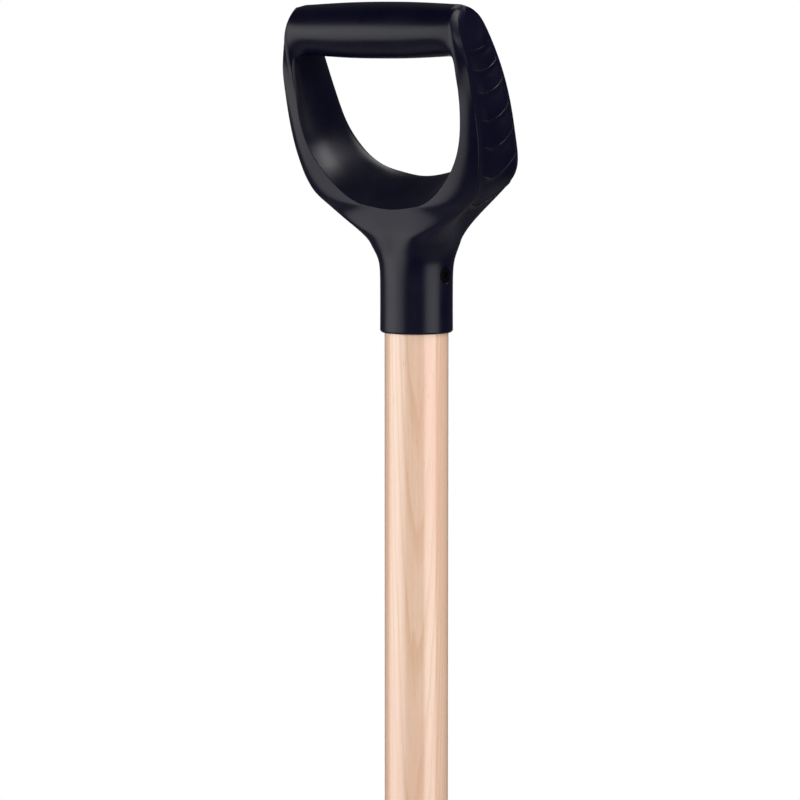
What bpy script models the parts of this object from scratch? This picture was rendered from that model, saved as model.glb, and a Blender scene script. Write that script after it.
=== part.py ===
"""A digging spade with a moulded D-handle, a wooden shaft and a welded steel blade.

Metres, +Z up. The spade stands upright on its cutting edge. The concave side of the blade
is the front and faces -Y, and the grip bar lies along X. The origin is at the bottom
centre of the whole spade, so the shaft's axis stands a little behind it.
"""

import math

import bmesh
import bpy
from mathutils import Matrix, Vector

# Clearances
SEAT_GAP = 0.0003
FIT_GAP = 0.0003
CUT_MARGIN = 0.004
MERGE_DISTANCE = 1e-6

# Shaft
SHAFT_DIAMETER = 0.036
BARE_SHAFT_LENGTH = 0.502
SHAFT_AXIS_Y = 0.0130
HEAD_TENON_LENGTH = 0.060
HEAD_TENON_END_DIAMETER = 0.0325
FOOT_TENON_LENGTH = 0.130
FOOT_TENON_END_DIAMETER = 0.029
TENON_CHAMFER = 0.0015

# Ferrule at the foot of the handle moulding
FERRULE_DIAMETER = 0.0409
FERRULE_LENGTH = 0.0339
FERRULE_EDGE_RADIUS = 0.0017
BORE_END_CLEARANCE = 0.0015

# Yoke, which carries the ferrule's round out to the arms
YOKE_HALF_WIDTH = 0.0335
YOKE_HEIGHT = 0.025
YOKE_FLARE_POWER = 1.82
YOKE_BLEND = 0.008
LEAN = math.radians(16.0)
LEAN_START = 0.0379
LEAN_END = 0.0729

# The D, seen square to its plane. The opening's height is measured down from the bar's centre.
BAR_LEVEL = 0.1729
D_HALF_WIDTH = 0.0646
OPENING_HALF_WIDTH = 0.0563
OPENING_HEIGHT = 0.0974
FRONT_DEPTH = 0.0184
BACK_DEPTH = 0.0256
PANEL_RECESS = 0.0012
CROWN_SHARE = 0.55
BACK_CROWN = 0.0001

# Grip bar
BAR_DIAMETER = 0.0310
BAR_CROWN = 0.0019
BAR_FILLET = 0.0080
BAR_CROWN_STATION = 0.0260
BAR_ARM_INSET = 0.0016
END_DISH_DIAMETER = 0.023
END_DISH_DEPTH = 0.0010
END_DISH_TILT = math.radians(13.0)
END_DISH_X = 0.0606
END_DISH_SET_BACK = 0.0015

# Sections of an arm, from the bar down to the opening's lowest point. Across: shares of the D's
# half width. Down: shares of the opening's height. Then depths before the centre line as shares
# of the front depth, behind it as shares of the back depth, and the panel's share of its recess.
# In turn: opening's front edge across and down, its back edge across and down, ridge and back
# across and both down, front edge's depth, front crown's, ridge's, back's, wall's back, recess
ARM_SECTIONS = (
    (0.867, 0.000, 0.861, 0.000, 0.938, 0.916, 0.000, 0.739, 0.715, 0.592, 0.570, 0.492, 0.167),
    (0.870, 0.159, 0.865, 0.159, 0.981, 0.964, 0.149, 0.761, 0.738, 0.663, 0.652, 0.594, 0.667),
    (0.873, 0.318, 0.867, 0.318, 1.000, 0.983, 0.323, 0.810, 0.786, 0.734, 0.754, 0.703, 1.000),
    (0.861, 0.477, 0.847, 0.477, 1.000, 0.981, 0.513, 0.902, 0.877, 0.772, 0.828, 0.766, 1.000),
    (0.805, 0.634, 0.788, 0.621, 0.972, 0.957, 0.700, 0.967, 0.945, 0.799, 0.891, 0.758, 1.000),
    (0.675, 0.785, 0.656, 0.754, 0.901, 0.889, 0.873, 1.000, 0.985, 0.799, 1.016, 0.703, 1.000),
    (0.480, 0.916, 0.455, 0.850, 0.724, 0.734, 1.006, 1.033, 1.033, 0.777, 0.879, 0.656, 0.833),
    (0.266, 0.982, 0.245, 0.895, 0.269, 0.269, 1.012, 1.049, 1.054, 0.000, 0.773, 0.648, 0.000),
    (0.000, 1.000, 0.000, 0.916, 0.000, 0.000, 1.033, 1.054, 1.065, 0.000, 0.758, 0.641, 0.000),
)

# Corner of the arm's rounded top: angle round the bar, share of the D's half width, and how
# far it lies inside the bar's round
ARM_CAP = (("front_out", 131, 0.889, 0.0014), ("panel_front", 102, 0.876, 0.0026),
           ("panel_back", 74, 0.904, 0.0026), ("back_out", 38, 0.920, 0.0020),
           ("front_crown", 134, 0.870, 0.0006), ("cap_front", 104, 0.855, 0.0010),
           ("cap_back", 75, 0.886, 0.0008), ("back_crown", 42, 0.889, 0.0007))

# Places on the opening's wall: share of the way to its back, swelling as a share of the
# opening's width, and depth
WALL_SWELL = (("inner_front", 0.35, 0.036, -0.0080), ("inner_back", 0.85, 0.044, 0.0060))
PANEL_DEPTHS = (("panel_front", -0.0080), ("panel_back", 0.0065))

# Corners of the yoke's faces: half width, how far below the lean's end, and depth
YOKE_CORNERS = (("mid_front", 0.0, 0.0080, -0.0201), ("near_front", 0.0220, 0.0080, -0.0198),
                ("mid_back", 0.0, 0.0020, 0.0205), ("near_back", 0.0245, 0.0020, 0.0204))

# Levels of the rings round the neck: shares of the yoke's height, then of the ferrule's
# length, and the distance above its rounded edge
YOKE_RING_SHARES = (0.94, 0.62, 0.28)
FERRULE_RING_SHARE = 0.80
EDGE_RING_RISE = 0.0025
EDGE_BEND_SHARE = 0.29

# Sharpness of the opening's front edge at its start, and of the ridge from the bar down
FRONT_EDGE_START_CREASE = 0.8
RIDGE_CREASES = (0.4, 0.7, 0.72, 0.72, 0.72, 0.65, 0.45)

# Fixing screw in the right side of the ferrule
SCREW_HEIGHT = 0.0328
SCREW_HEAD_DIAMETER = 0.0092
SCREW_SHANK_DIAMETER = 0.0042
SCREW_LENGTH = 0.022
SCREW_HEAD_INSET = 0.0004

# Socket
SOCKET_WALL = 0.0020
SOCKET_LENGTH = 0.190
SOCKET_NECK_DIAMETER = 0.033
SOCKET_ROUND_LENGTH = 0.135
TONGUE_HALF_WIDTH = 0.0230
TONGUE_LENGTH = 0.075
TONGUE_THICKNESS = 0.0044
TONGUE_TIP_RADIUS = 0.016
TONGUE_BEND_MARGIN = 0.002
TONGUE_SQUARENESS = 5.0
ROUND_SQUARENESS = 2.0
NECK_ROUNDING_POWER = 0.6
TONGUE_TIP_SHARES = (0.01, 0.08, 0.25, 0.55, 1.0)

# Rivets through the socket and the shaft
RIVET_DIAMETER = 0.0050
RIVET_HEAD_DIAMETER = 0.0100
RIVET_HEAD_HEIGHT = 0.0026
RIVET_UPPER_DROP = 0.030
RIVET_SPACING = 0.060
RIVET_DOME = ((1.0, 0.0), (0.92, 0.45), (0.62, 0.85), (0.0, 1.0))

# Blade
BLADE_HEIGHT = 0.290
BLADE_TOP_WIDTH = 0.190
BLADE_FOOT_WIDTH = 0.176
BLADE_THICKNESS = 0.0020
BLADE_DISH = 0.010
BLADE_LIFT = math.radians(4.0)
BLADE_TOP_SET_FORWARD = 0.0037
EDGE_CURVE = 0.008
EDGE_BEVEL_HEIGHT = 0.012
EDGE_THICKNESS = 0.0008
BLADE_ROW_SHARES = (0.14, 0.31, 0.52, 0.76)

# Treads
TREAD_WIDTH = 0.016
TREAD_THICKNESS = 0.0030
TREAD_INNER = 0.031
TREAD_OVERHANG = 0.0010
TREAD_CORNER = 0.006
TREAD_CORNER_DEGREES = (0, 22.5, 45, 67.5, 90)

# Weld beads
WELD_RADIUS = 0.0018
TREAD_WELD_INSET = 0.006
SOCKET_WELD_DROP = 0.012
WELD_ARC_DEGREES = (-18, -36, -54, -72)

# Facets
ROUND_STEPS = 40
BORE_STEPS = 14
END_DISH_STEPS = 24
END_DISH_RINGS = 3
SOCKET_STEPS = 40
SOCKET_NECK_STEPS = 6
BLADE_COLUMNS = 18
TREAD_STEPS = 6
SMOOTH_LEVELS = 2
FIT_ROUNDS = 8
MOULDING_SMOOTH_ANGLE = 60
TURNED_SMOOTH_ANGLE = 40
PLATE_SMOOTH_ANGLE = 30

LAST_STATION = len(ARM_SECTIONS)
LAST_ARM_STATION = LAST_STATION - 2
SHAFT_RADIUS = SHAFT_DIAMETER / 2
FERRULE_RADIUS = FERRULE_DIAMETER / 2
BAR_RADIUS = BAR_DIAMETER / 2
SOCKET_TOP_Z = BLADE_HEIGHT + SOCKET_LENGTH
FERRULE_Z = SOCKET_TOP_Z + BARE_SHAFT_LENGTH
SHAFT_TOP_Z = FERRULE_Z + HEAD_TENON_LENGTH
SHAFT_FOOT_Z = SOCKET_TOP_Z - FOOT_TENON_LENGTH
SOCKET_NECK_Z = SOCKET_TOP_Z - SOCKET_ROUND_LENGTH
SOCKET_TOP_RADIUS = SHAFT_RADIUS + FIT_GAP + SOCKET_WALL
RIVET_UPPER_Z = SOCKET_TOP_Z - RIVET_UPPER_DROP
RIVET_LOWER_Z = RIVET_UPPER_Z - RIVET_SPACING
SCREW_Z = FERRULE_Z + SCREW_HEIGHT


def clear_scene():
    for obj in list(bpy.data.objects):
        bpy.data.objects.remove(obj, do_unlink=True)


def material(name, colour, roughness, metallic=0.0):
    mat = bpy.data.materials.new(name)
    mat.use_nodes = True
    shader = mat.node_tree.nodes["Principled BSDF"]
    shader.inputs["Base Color"].default_value = (*colour, 1.0)
    shader.inputs["Roughness"].default_value = roughness
    shader.inputs["Metallic"].default_value = metallic
    return mat


def add_object(name, bm, mat, smooth_angle=None):
    """Turn a bmesh into a named object with outward faces and its own material."""
    bmesh.ops.recalc_face_normals(bm, faces=bm.faces)
    mesh = bpy.data.meshes.new(name)
    bm.to_mesh(mesh)
    bm.free()
    if smooth_angle is not None:
        mesh.shade_smooth()
        mesh.set_sharp_from_angle(angle=math.radians(smooth_angle))
    obj = bpy.data.objects.new(name, mesh)
    bpy.context.scene.collection.objects.link(obj)
    if mat is not None:
        mesh.materials.append(mat)
    return obj


def cut(obj, cutter):
    """Cut one object by another, which stays in the scene as a hidden guide."""
    boolean = obj.modifiers.new("cut_" + cutter.name, "BOOLEAN")
    boolean.operation = "DIFFERENCE"
    boolean.solver = "EXACT"
    boolean.object = cutter
    cutter.hide_render = True
    cutter.display_type = "WIRE"


def turned(profile, steps=ROUND_STEPS):
    """Spin (radius, height) points round Z. The first and last points lie on the axis."""
    bm = bmesh.new()
    corners = [bm.verts.new((radius, 0.0, height)) for radius, height in profile]
    edges = [bm.edges.new(pair) for pair in zip(corners, corners[1:])]
    bmesh.ops.spin(
        bm,
        geom=corners + edges,
        cent=(0, 0, 0),
        axis=(0, 0, 1),
        angle=math.tau,
        steps=steps,
        use_merge=True,
    )
    bmesh.ops.remove_doubles(bm, verts=bm.verts, dist=MERGE_DISTANCE)
    return bm


def move(bm, matrix):
    bmesh.ops.transform(bm, matrix=matrix, verts=bm.verts)
    return bm


def along_y(height):
    """Put a turned pin's axis along Y, through the shaft's axis at a height."""
    turn = Matrix.Rotation(-math.pi / 2, 4, "X")
    return Matrix.Translation((0, SHAFT_AXIS_Y, height)) @ turn


# Handle moulding


def handle_point(x, along, depth):
    """Place a point of the handle: along its leaning centre line, and behind that line."""
    turn_radius = (LEAN_END - LEAN_START) / LEAN
    angle = min(max(along - LEAN_START, 0.0) / turn_radius, LEAN)
    forward = turn_radius * (1 - math.cos(angle))
    height = min(along, LEAN_START) + turn_radius * math.sin(angle)
    beyond = max(along - LEAN_END, 0.0)
    forward += beyond * math.sin(LEAN)
    height += beyond * math.cos(LEAN)
    y = SHAFT_AXIS_Y - forward + depth * math.cos(angle)
    z = FERRULE_Z + height + depth * math.sin(angle)
    return Vector((x, y, z))


def straight_point(x, along, depth):
    """A point beside the shaft's straight axis."""
    return Vector((x, SHAFT_AXIS_Y + depth, FERRULE_Z + along))


def bar_radius(x):
    return BAR_RADIUS - BAR_CROWN * (x / OPENING_HALF_WIDTH) ** 2


def round_bar(x, degrees, shrink=0.0):
    """Along and depth of a point on the bar's round."""
    angle = math.radians(degrees)
    radius = bar_radius(x) - shrink
    return BAR_LEVEL + radius * math.sin(angle), radius * math.cos(angle)


class Cage:
    """Corners and faces of the handle, named so that the left side mirrors the right."""

    def __init__(self):
        self.places = {}
        self.faces = []
        self.creases = {}

    def put(self, name, x, along, depth, place=handle_point):
        self.places[name, 1] = place(x, along, depth)
        self.places[name, -1] = place(-x, along, depth)

    def put_share(self, name, across, down, depth):
        self.put(name, across * D_HALF_WIDTH, BAR_LEVEL - down * OPENING_HEIGHT, depth)

    def face(self, *names):
        self.faces.append([(name, 1) for name in names])
        self.faces.append([(name, -1) for name in reversed(names)])

    def strip(self, first, second, closed=False):
        """Faces between two rows of corners."""
        pairs = list(zip(first, second))
        if closed:
            pairs.append(pairs[0])
        for (here, there), (here_next, there_next) in zip(pairs, pairs[1:]):
            self.face(here, here_next, there_next, there)

    def crease(self, first, second, sharpness):
        self.creases[first, second] = sharpness

    def build(self):
        bm = bmesh.new()
        used = dict.fromkeys(key for names in self.faces for key in names)
        verts = {key: bm.verts.new(self.places[key]) for key in used}
        for names in self.faces:
            bm.faces.new([verts[key] for key in names])
        layer = bm.edges.layers.float.new("crease_edge")
        for (first, second), sharpness in self.creases.items():
            for side in (1, -1):
                edge = bm.edges.get((verts[first, side], verts[second, side]))
                edge[layer] = sharpness
        bmesh.ops.remove_doubles(bm, verts=bm.verts, dist=MERGE_DISTANCE)
        bmesh.ops.recalc_face_normals(bm, faces=bm.faces)
        return bm


SECTION = ("front_in", "front_crown", "front_out", "panel_front", "panel_back", "back_out",
           "back_crown", "back_in", "inner_back", "inner_front")
OUTER_SIDE = SECTION[2:6]
OUTER_HALF = SECTION[:8]
INNER_HALF = SECTION[7:] + SECTION[:1]
TOP_WALL = ("front_in", "inner_front", "inner_back", "back_in")
TOP_CAP = ("front_crown", "cap_front", "cap_back", "back_crown")
BAR_LOOP = (("front_in", 0), ("inner_front", 0), ("inner_back", 0), ("back_in", 0), ("back_in", 1),
            ("back_in", 2), ("inner_back", 2), ("inner_front", 2), ("front_in", 2),
            ("front_in", 1))
BAR_DEGREES = (135, 105, 75, 45, 0, -45, -75, -105, -135, 180)
NECK_LOOP = ("mid_front", "near_front", "front_out", "panel_front", "panel_back", "back_out",
             "near_back", "mid_back")
# Places round the ferrule, and round the ends of the flat-sided yoke
FERRULE_DEGREES = (-90, -64, -39, -13, 13, 39, 64, 90)
YOKE_DEGREES = (-90, -86, -48, -15, 15, 48, 86, 90)


def section(number, parts=SECTION):
    return [(part, number) for part in parts]


def place_top(cage):
    """The rounded top of an arm, where the bar's round runs into it."""
    for part, degrees in zip(TOP_WALL, BAR_DEGREES):
        cage.put((part, 0), OPENING_HALF_WIDTH - BAR_ARM_INSET,
                 *round_bar(OPENING_HALF_WIDTH, degrees))
    for part, degrees, across, shrink in ARM_CAP:
        cage.put((part, 0), across * D_HALF_WIDTH,
                 *round_bar(OPENING_HALF_WIDTH, degrees, shrink))


def place_section(cage, number, in_x, in_drop, wall_x, wall_drop, out_x, back_x, out_drop,
                  front, crown, ridge, back, wall_back, recess):
    """Put the corners of one section of an arm."""
    cage.put_share(("front_in", number), in_x, in_drop, -front * FRONT_DEPTH)
    for part, share, swell, depth in WALL_SWELL:
        across = in_x + (wall_x - in_x) * share - swell * in_x
        cage.put_share((part, number), across, in_drop + (wall_drop - in_drop) * share, depth)
    cage.put_share(("back_in", number), wall_x, wall_drop, wall_back * BACK_DEPTH)
    across = in_x + (out_x - in_x) * CROWN_SHARE
    down = in_drop + (out_drop - in_drop) * CROWN_SHARE
    cage.put_share(("front_crown", number), across, down, -crown * FRONT_DEPTH)
    across, down = (wall_x + back_x) / 2, (wall_drop + out_drop) / 2
    cage.put_share(("back_crown", number), across, down, back * BACK_DEPTH + BACK_CROWN)
    if number > LAST_ARM_STATION:
        return
    cage.put_share(("front_out", number), out_x, out_drop, -ridge * FRONT_DEPTH)
    for part, depth in PANEL_DEPTHS:
        across = out_x - recess * PANEL_RECESS / D_HALF_WIDTH
        cage.put_share((part, number), across, out_drop, depth)
    cage.put_share(("back_out", number), back_x, out_drop, back * BACK_DEPTH)


def neck_half_width(along):
    """Half the yoke's width: the ferrule's radius, flaring upwards."""
    rise = max(along - FERRULE_LENGTH, 0.0) / YOKE_HEIGHT
    flare = YOKE_HALF_WIDTH - FERRULE_RADIUS
    return FERRULE_RADIUS + flare * rise**YOKE_FLARE_POWER


def place_ring(cage, number, along, half_width, radius, place):
    """A ring round the neck: a circle, drawn out to flat sides where the yoke is wider."""
    flat = half_width - radius
    share = min(flat / YOKE_BLEND, 1.0)
    for part, round_turn, flat_turn in zip(NECK_LOOP, FERRULE_DEGREES, YOKE_DEGREES):
        angle = math.radians(round_turn + (flat_turn - round_turn) * share)
        x = flat + radius * math.cos(angle) if abs(round_turn) < 90 else 0.0
        cage.put((part, "ring", number), x, along, radius * math.sin(angle), place)


def place_neck(cage):
    """Corners of the yoke, rings down to the ferrule's foot, and rings inside the bore."""
    for part, x, below, depth in YOKE_CORNERS:
        cage.put((part, 0), x, LEAN_END - below, depth)
    levels = [FERRULE_LENGTH + YOKE_HEIGHT * share for share in YOKE_RING_SHARES]
    levels += [FERRULE_LENGTH * FERRULE_RING_SHARE, FERRULE_EDGE_RADIUS + EDGE_RING_RISE]
    rings = [(along, neck_half_width(along), FERRULE_RADIUS) for along in levels]
    bend = FERRULE_EDGE_RADIUS * EDGE_BEND_SHARE
    rings.append((bend, FERRULE_RADIUS - bend, FERRULE_RADIUS - bend))
    for number, ring in enumerate(rings, 1):
        place_ring(cage, number, *ring, handle_point)
    count = len(rings)
    mouth = SHAFT_RADIUS + FIT_GAP
    end = HEAD_TENON_END_DIAMETER / 2 + FIT_GAP
    bore_top = HEAD_TENON_LENGTH + BORE_END_CLEARANCE
    place_ring(cage, count + 1, 0.0, mouth, mouth, straight_point)
    place_ring(cage, count + 2, bore_top, end, end, straight_point)
    cage.put(("bore_top",), 0.0, bore_top, 0.0, straight_point)
    return count + 2


def skin_neck(cage, rings):
    """Faces from the yoke down over the ferrule and up the bore to its closed end."""
    upper = [("mid_front", 0), ("near_front", 0)] + section(LAST_ARM_STATION, OUTER_SIDE)
    upper += [("near_back", 0), ("mid_back", 0)]
    for number in range(1, rings + 1):
        lower = [(part, "ring", number) for part in NECK_LOOP]
        cage.strip(upper, lower)
        upper = lower
    for index in range(0, len(upper) - 2, 2):
        cage.face(upper[index], upper[index + 1], upper[index + 2], ("bore_top",))
    cage.face(upper[-2], upper[-1], ("bore_top",))


def skin_arm(cage):
    """Faces of an arm, its rounded top and its half of the opening's floor."""
    last = LAST_ARM_STATION
    for number in range(2):
        cage.strip(section(number, OUTER_HALF), section(number + 1, OUTER_HALF))
    for number in range(2, last):
        cage.strip(section(number), section(number + 1), closed=True)
    for number in range(last, LAST_STATION):
        cage.strip(section(number, INNER_HALF), section(number + 1, INNER_HALF))
    for side in ("front", "back"):
        edge = [(side + "_in", number) for number in range(last, LAST_STATION + 1)]
        crown = [(side + "_crown", number) for number in range(last, LAST_STATION + 1)]
        cage.strip(edge, crown)
        cage.strip(crown, [(side + "_out", last), ("near_" + side, 0), ("mid_" + side, 0)])
    cage.strip(section(0, OUTER_SIDE), section(0, TOP_CAP))
    cage.strip(section(0, TOP_CAP), section(0, TOP_WALL))


def make_bar(cage):
    """Rings along the grip bar. The ring at the middle is shared by both sides."""
    before = BAR_LOOP
    for number, x in enumerate((OPENING_HALF_WIDTH - BAR_FILLET, BAR_CROWN_STATION, 0.0), 1):
        after = [(corner, "bar", number) for corner in BAR_LOOP]
        for name, degrees in zip(after, BAR_DEGREES):
            cage.put(name, x, *round_bar(x, degrees))
        cage.strip(before, after, closed=True)
        before = after


def crease_handle(cage, rings):
    """Crisp edges: the opening's front edge, the outer ridge and the bore's two ends."""
    for number in range(2, LAST_STATION):
        sharpness = FRONT_EDGE_START_CREASE if number == 2 else 1.0
        cage.crease(("front_in", number), ("front_in", number + 1), sharpness)
    for number, sharpness in enumerate(RIDGE_CREASES):
        cage.crease(("front_out", number), ("front_out", number + 1), sharpness)
    for number in (rings - 1, rings):
        loop = [(part, "ring", number) for part in NECK_LOOP]
        for first, second in zip(loop, loop[1:]):
            cage.crease(first, second, 1.0)


def settle_cage(obj, targets):
    """Move the cage's corners until the smooth surface runs through the design points."""
    smooth = obj.modifiers.new("smooth", "SUBSURF")
    smooth.levels = SMOOTH_LEVELS
    smooth.render_levels = SMOOTH_LEVELS
    for _ in range(FIT_ROUNDS):
        graph = bpy.context.evaluated_depsgraph_get()
        surface = obj.evaluated_get(graph).to_mesh()
        misses = [target - surface.vertices[index].co for index, target in enumerate(targets)]
        for vertex, miss in zip(obj.data.vertices, misses):
            vertex.co += miss
        obj.data.update()
        obj.update_tag()
        bpy.context.view_layer.update()


def make_handle(mat):
    cage = Cage()
    place_top(cage)
    for number, row in enumerate(ARM_SECTIONS, 1):
        place_section(cage, number, *row)
    rings = place_neck(cage)
    skin_arm(cage)
    skin_neck(cage, rings)
    make_bar(cage)
    crease_handle(cage, rings)
    handle = add_object("d_handle", cage.build(), mat, MOULDING_SMOOTH_ANGLE)
    settle_cage(handle, [vertex.co.copy() for vertex in handle.data.vertices])
    cut(handle, end_dish_cutter("end_dish_right", 1))
    cut(handle, end_dish_cutter("end_dish_left", -1))
    cut(handle, screw_cutter())
    return handle


def end_dish_cutter(name, side):
    """A shallow ball that presses a round dish into the sloping end of an arm."""
    half = END_DISH_DIAMETER / 2
    radius = (half**2 + END_DISH_DEPTH**2) / (2 * END_DISH_DEPTH)
    rim = math.asin(half / radius)
    profile = []
    for step in range(END_DISH_RINGS + 1):
        angle = rim * step / END_DISH_RINGS
        profile.append((radius * math.sin(angle), radius * (1 - math.cos(angle)) - END_DISH_DEPTH))
    slope = (CUT_MARGIN * math.cos(rim), CUT_MARGIN * math.sin(rim))
    profile.append((half + slope[0], slope[1]))
    profile.append((half + slope[0], CUT_MARGIN))
    profile.append((0.0, CUT_MARGIN))
    turn = Matrix.Rotation(side * (math.pi / 2 - END_DISH_TILT), 4, "Y")
    place = handle_point(side * END_DISH_X, BAR_LEVEL, END_DISH_SET_BACK)
    bm = move(turned(profile, END_DISH_STEPS), Matrix.Translation(place) @ turn)
    return add_object(name, bm, None, MOULDING_SMOOTH_ANGLE)


def screw_profile(grow):
    """Half the outline of the fixing screw along its axis, made larger by a clearance."""
    head = SCREW_HEAD_DIAMETER / 2 + grow
    shank = SCREW_SHANK_DIAMETER / 2 + grow
    cone = head - shank
    return head, shank, cone


def screw_place():
    turn = Matrix.Rotation(math.pi / 2, 4, "Y")
    return Matrix.Translation((FERRULE_RADIUS, SHAFT_AXIS_Y, SCREW_Z)) @ turn


def screw_cutter():
    """The countersunk hole through the ferrule's wall and the pilot hole behind it."""
    head, shank, cone = screw_profile(FIT_GAP)
    rim = -SCREW_HEAD_INSET
    profile = [(0.0, CUT_MARGIN), (head, CUT_MARGIN), (head, rim), (shank, rim - cone),
               (shank, -SCREW_LENGTH - FIT_GAP), (0.0, -SCREW_LENGTH - FIT_GAP)]
    bm = move(turned(profile, BORE_STEPS), screw_place())
    return add_object("screw_hole", bm, None)


def make_screw(mat):
    head, shank, cone = screw_profile(0.0)
    rim = -SCREW_HEAD_INSET
    point = SCREW_SHANK_DIAMETER
    profile = [(0.0, rim), (head, rim), (shank, rim - cone),
               (shank, -SCREW_LENGTH + point), (0.0, -SCREW_LENGTH)]
    bm = move(turned(profile, BORE_STEPS), screw_place())
    return add_object("handle_screw", bm, mat, TURNED_SMOOTH_ANGLE)


# Shaft


def foot_tenon_radius(z):
    """The shaft's radius inside the socket, which tapers to the foot."""
    share = (SOCKET_TOP_Z - z) / FOOT_TENON_LENGTH
    return SHAFT_RADIUS + (FOOT_TENON_END_DIAMETER / 2 - SHAFT_RADIUS) * share


def make_shaft(mat):
    foot = FOOT_TENON_END_DIAMETER / 2
    head = HEAD_TENON_END_DIAMETER / 2
    profile = [
        (0.0, SHAFT_FOOT_Z),
        (foot - TENON_CHAMFER, SHAFT_FOOT_Z),
        (foot, SHAFT_FOOT_Z + TENON_CHAMFER),
        (SHAFT_RADIUS, SOCKET_TOP_Z),
        (SHAFT_RADIUS, FERRULE_Z),
        (head, SHAFT_TOP_Z - TENON_CHAMFER),
        (head - TENON_CHAMFER, SHAFT_TOP_Z),
        (0.0, SHAFT_TOP_Z),
    ]
    bm = move(turned(profile), Matrix.Translation((0, SHAFT_AXIS_Y, 0)))
    shaft = add_object("shaft", bm, mat, TURNED_SMOOTH_ANGLE)
    cut(shaft, rivet_cutter("shaft_hole_upper", RIVET_UPPER_Z))
    cut(shaft, rivet_cutter("shaft_hole_lower", RIVET_LOWER_Z))
    cut(shaft, bpy.data.objects["screw_hole"])
    return shaft


# Rivets


def socket_radius(z):
    """The round part of the socket, tapering to its neck."""
    share = (SOCKET_TOP_Z - z) / SOCKET_ROUND_LENGTH
    return SOCKET_TOP_RADIUS + (SOCKET_NECK_DIAMETER / 2 - SOCKET_TOP_RADIUS) * share


def rivet_cutter(name, z):
    radius = RIVET_DIAMETER / 2 + FIT_GAP
    reach = socket_radius(z) + CUT_MARGIN
    bm = turned([(0.0, reach), (radius, reach), (radius, -reach), (0.0, -reach)], BORE_STEPS)
    return add_object(name, move(bm, along_y(z)), None)


def make_rivet(name, z, mat):
    """A pin with a domed head at each end, front and back."""
    seat = socket_radius(z - RIVET_HEAD_DIAMETER / 2) + SEAT_GAP
    seat = max(seat, socket_radius(z + RIVET_HEAD_DIAMETER / 2) + SEAT_GAP)
    shank = RIVET_DIAMETER / 2
    head = RIVET_HEAD_DIAMETER / 2
    front = [(head * radius, seat + RIVET_HEAD_HEIGHT * rise) for radius, rise in RIVET_DOME]
    back = [(radius, -height) for radius, height in reversed(front)]
    profile = back + [(shank, -seat), (shank, seat)] + front
    bm = move(turned(profile, BORE_STEPS), along_y(z))
    return add_object(name, bm, mat, MOULDING_SMOOTH_ANGLE)


# Blade


def blade_half_width(z):
    share = z / BLADE_HEIGHT
    return (BLADE_FOOT_WIDTH + (BLADE_TOP_WIDTH - BLADE_FOOT_WIDTH) * share) / 2


def blade_middle_y(x, z):
    """The middle of the plate: it leans forward going down, and its sides come forward."""
    y = SHAFT_AXIS_Y - BLADE_TOP_SET_FORWARD - (BLADE_HEIGHT - z) * math.tan(BLADE_LIFT)
    return y - BLADE_DISH * (x / blade_half_width(z)) ** 2


def blade_back_y(x, z):
    return blade_middle_y(x, z) + BLADE_THICKNESS / 2


def blade_thickness(rise):
    share = min(rise / EDGE_BEVEL_HEIGHT, 1.0)
    return EDGE_THICKNESS + (BLADE_THICKNESS - EDGE_THICKNESS) * share


def make_blade(mat):
    """A grid bent to the plate's middle surface and given its thickness."""
    rows = [0.0, EDGE_BEVEL_HEIGHT, *(BLADE_HEIGHT * share for share in BLADE_ROW_SHARES)]
    rows.append(BLADE_HEIGHT)
    bm = bmesh.new()
    grid = bmesh.ops.create_grid(bm, x_segments=BLADE_COLUMNS, y_segments=len(rows) - 1, size=1.0)
    front = grid["verts"]
    copy = bmesh.ops.extrude_face_region(bm, geom=bm.faces[:])["geom"]
    back = [item for item in copy if isinstance(item, bmesh.types.BMVert)]
    for verts, side in ((front, -1), (back, 1)):
        for vert in verts:
            row = rows[round((vert.co.y + 1) / 2 * (len(rows) - 1))]
            rise = EDGE_CURVE * vert.co.x**2 * (1 - row / BLADE_HEIGHT) ** 2
            z = row + rise
            x = vert.co.x * blade_half_width(z)
            y = blade_middle_y(x, z) + side * blade_thickness(row) / 2
            vert.co = (x, y, z)
    return add_object("blade", bm, mat, PLATE_SMOOTH_ANGLE)


# Socket


def tongue_half_width(z):
    """The flattened end's half width, with a rounded tip."""
    rise = z - (BLADE_HEIGHT - TONGUE_LENGTH)
    if rise < TONGUE_TIP_RADIUS:
        return math.sqrt(max(TONGUE_TIP_RADIUS**2 - (TONGUE_TIP_RADIUS - rise) ** 2, 0.0))
    share = min((rise - TONGUE_TIP_RADIUS) / (TONGUE_LENGTH - TONGUE_TIP_RADIUS), 1.0)
    return TONGUE_TIP_RADIUS + (TONGUE_HALF_WIDTH - TONGUE_TIP_RADIUS) * share


def socket_ring(bm, z, half_width, half_depth, middle_y, squareness):
    """One section of the socket: a circle where squareness is 2, flat-sided above it."""
    ring = []
    for index in range(SOCKET_STEPS):
        angle = math.tau * index / SOCKET_STEPS
        cosine, sine = math.cos(angle), math.sin(angle)
        x = half_width * math.copysign(abs(cosine) ** (2 / squareness), cosine)
        y = middle_y + half_depth * math.copysign(abs(sine) ** (2 / squareness), sine)
        if z < BLADE_HEIGHT + SEAT_GAP:
            y = max(y, blade_back_y(x, z) + SEAT_GAP)
        ring.append(bm.verts.new((x, y, z)))
    return ring


def join_rings(bm, rings):
    for lower, upper in zip(rings, rings[1:]):
        for index in range(len(lower)):
            after = (index + 1) % len(lower)
            bm.faces.new((lower[index], lower[after], upper[after], upper[index]))
    bm.faces.new(rings[0])
    bm.faces.new(rings[-1])


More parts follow.
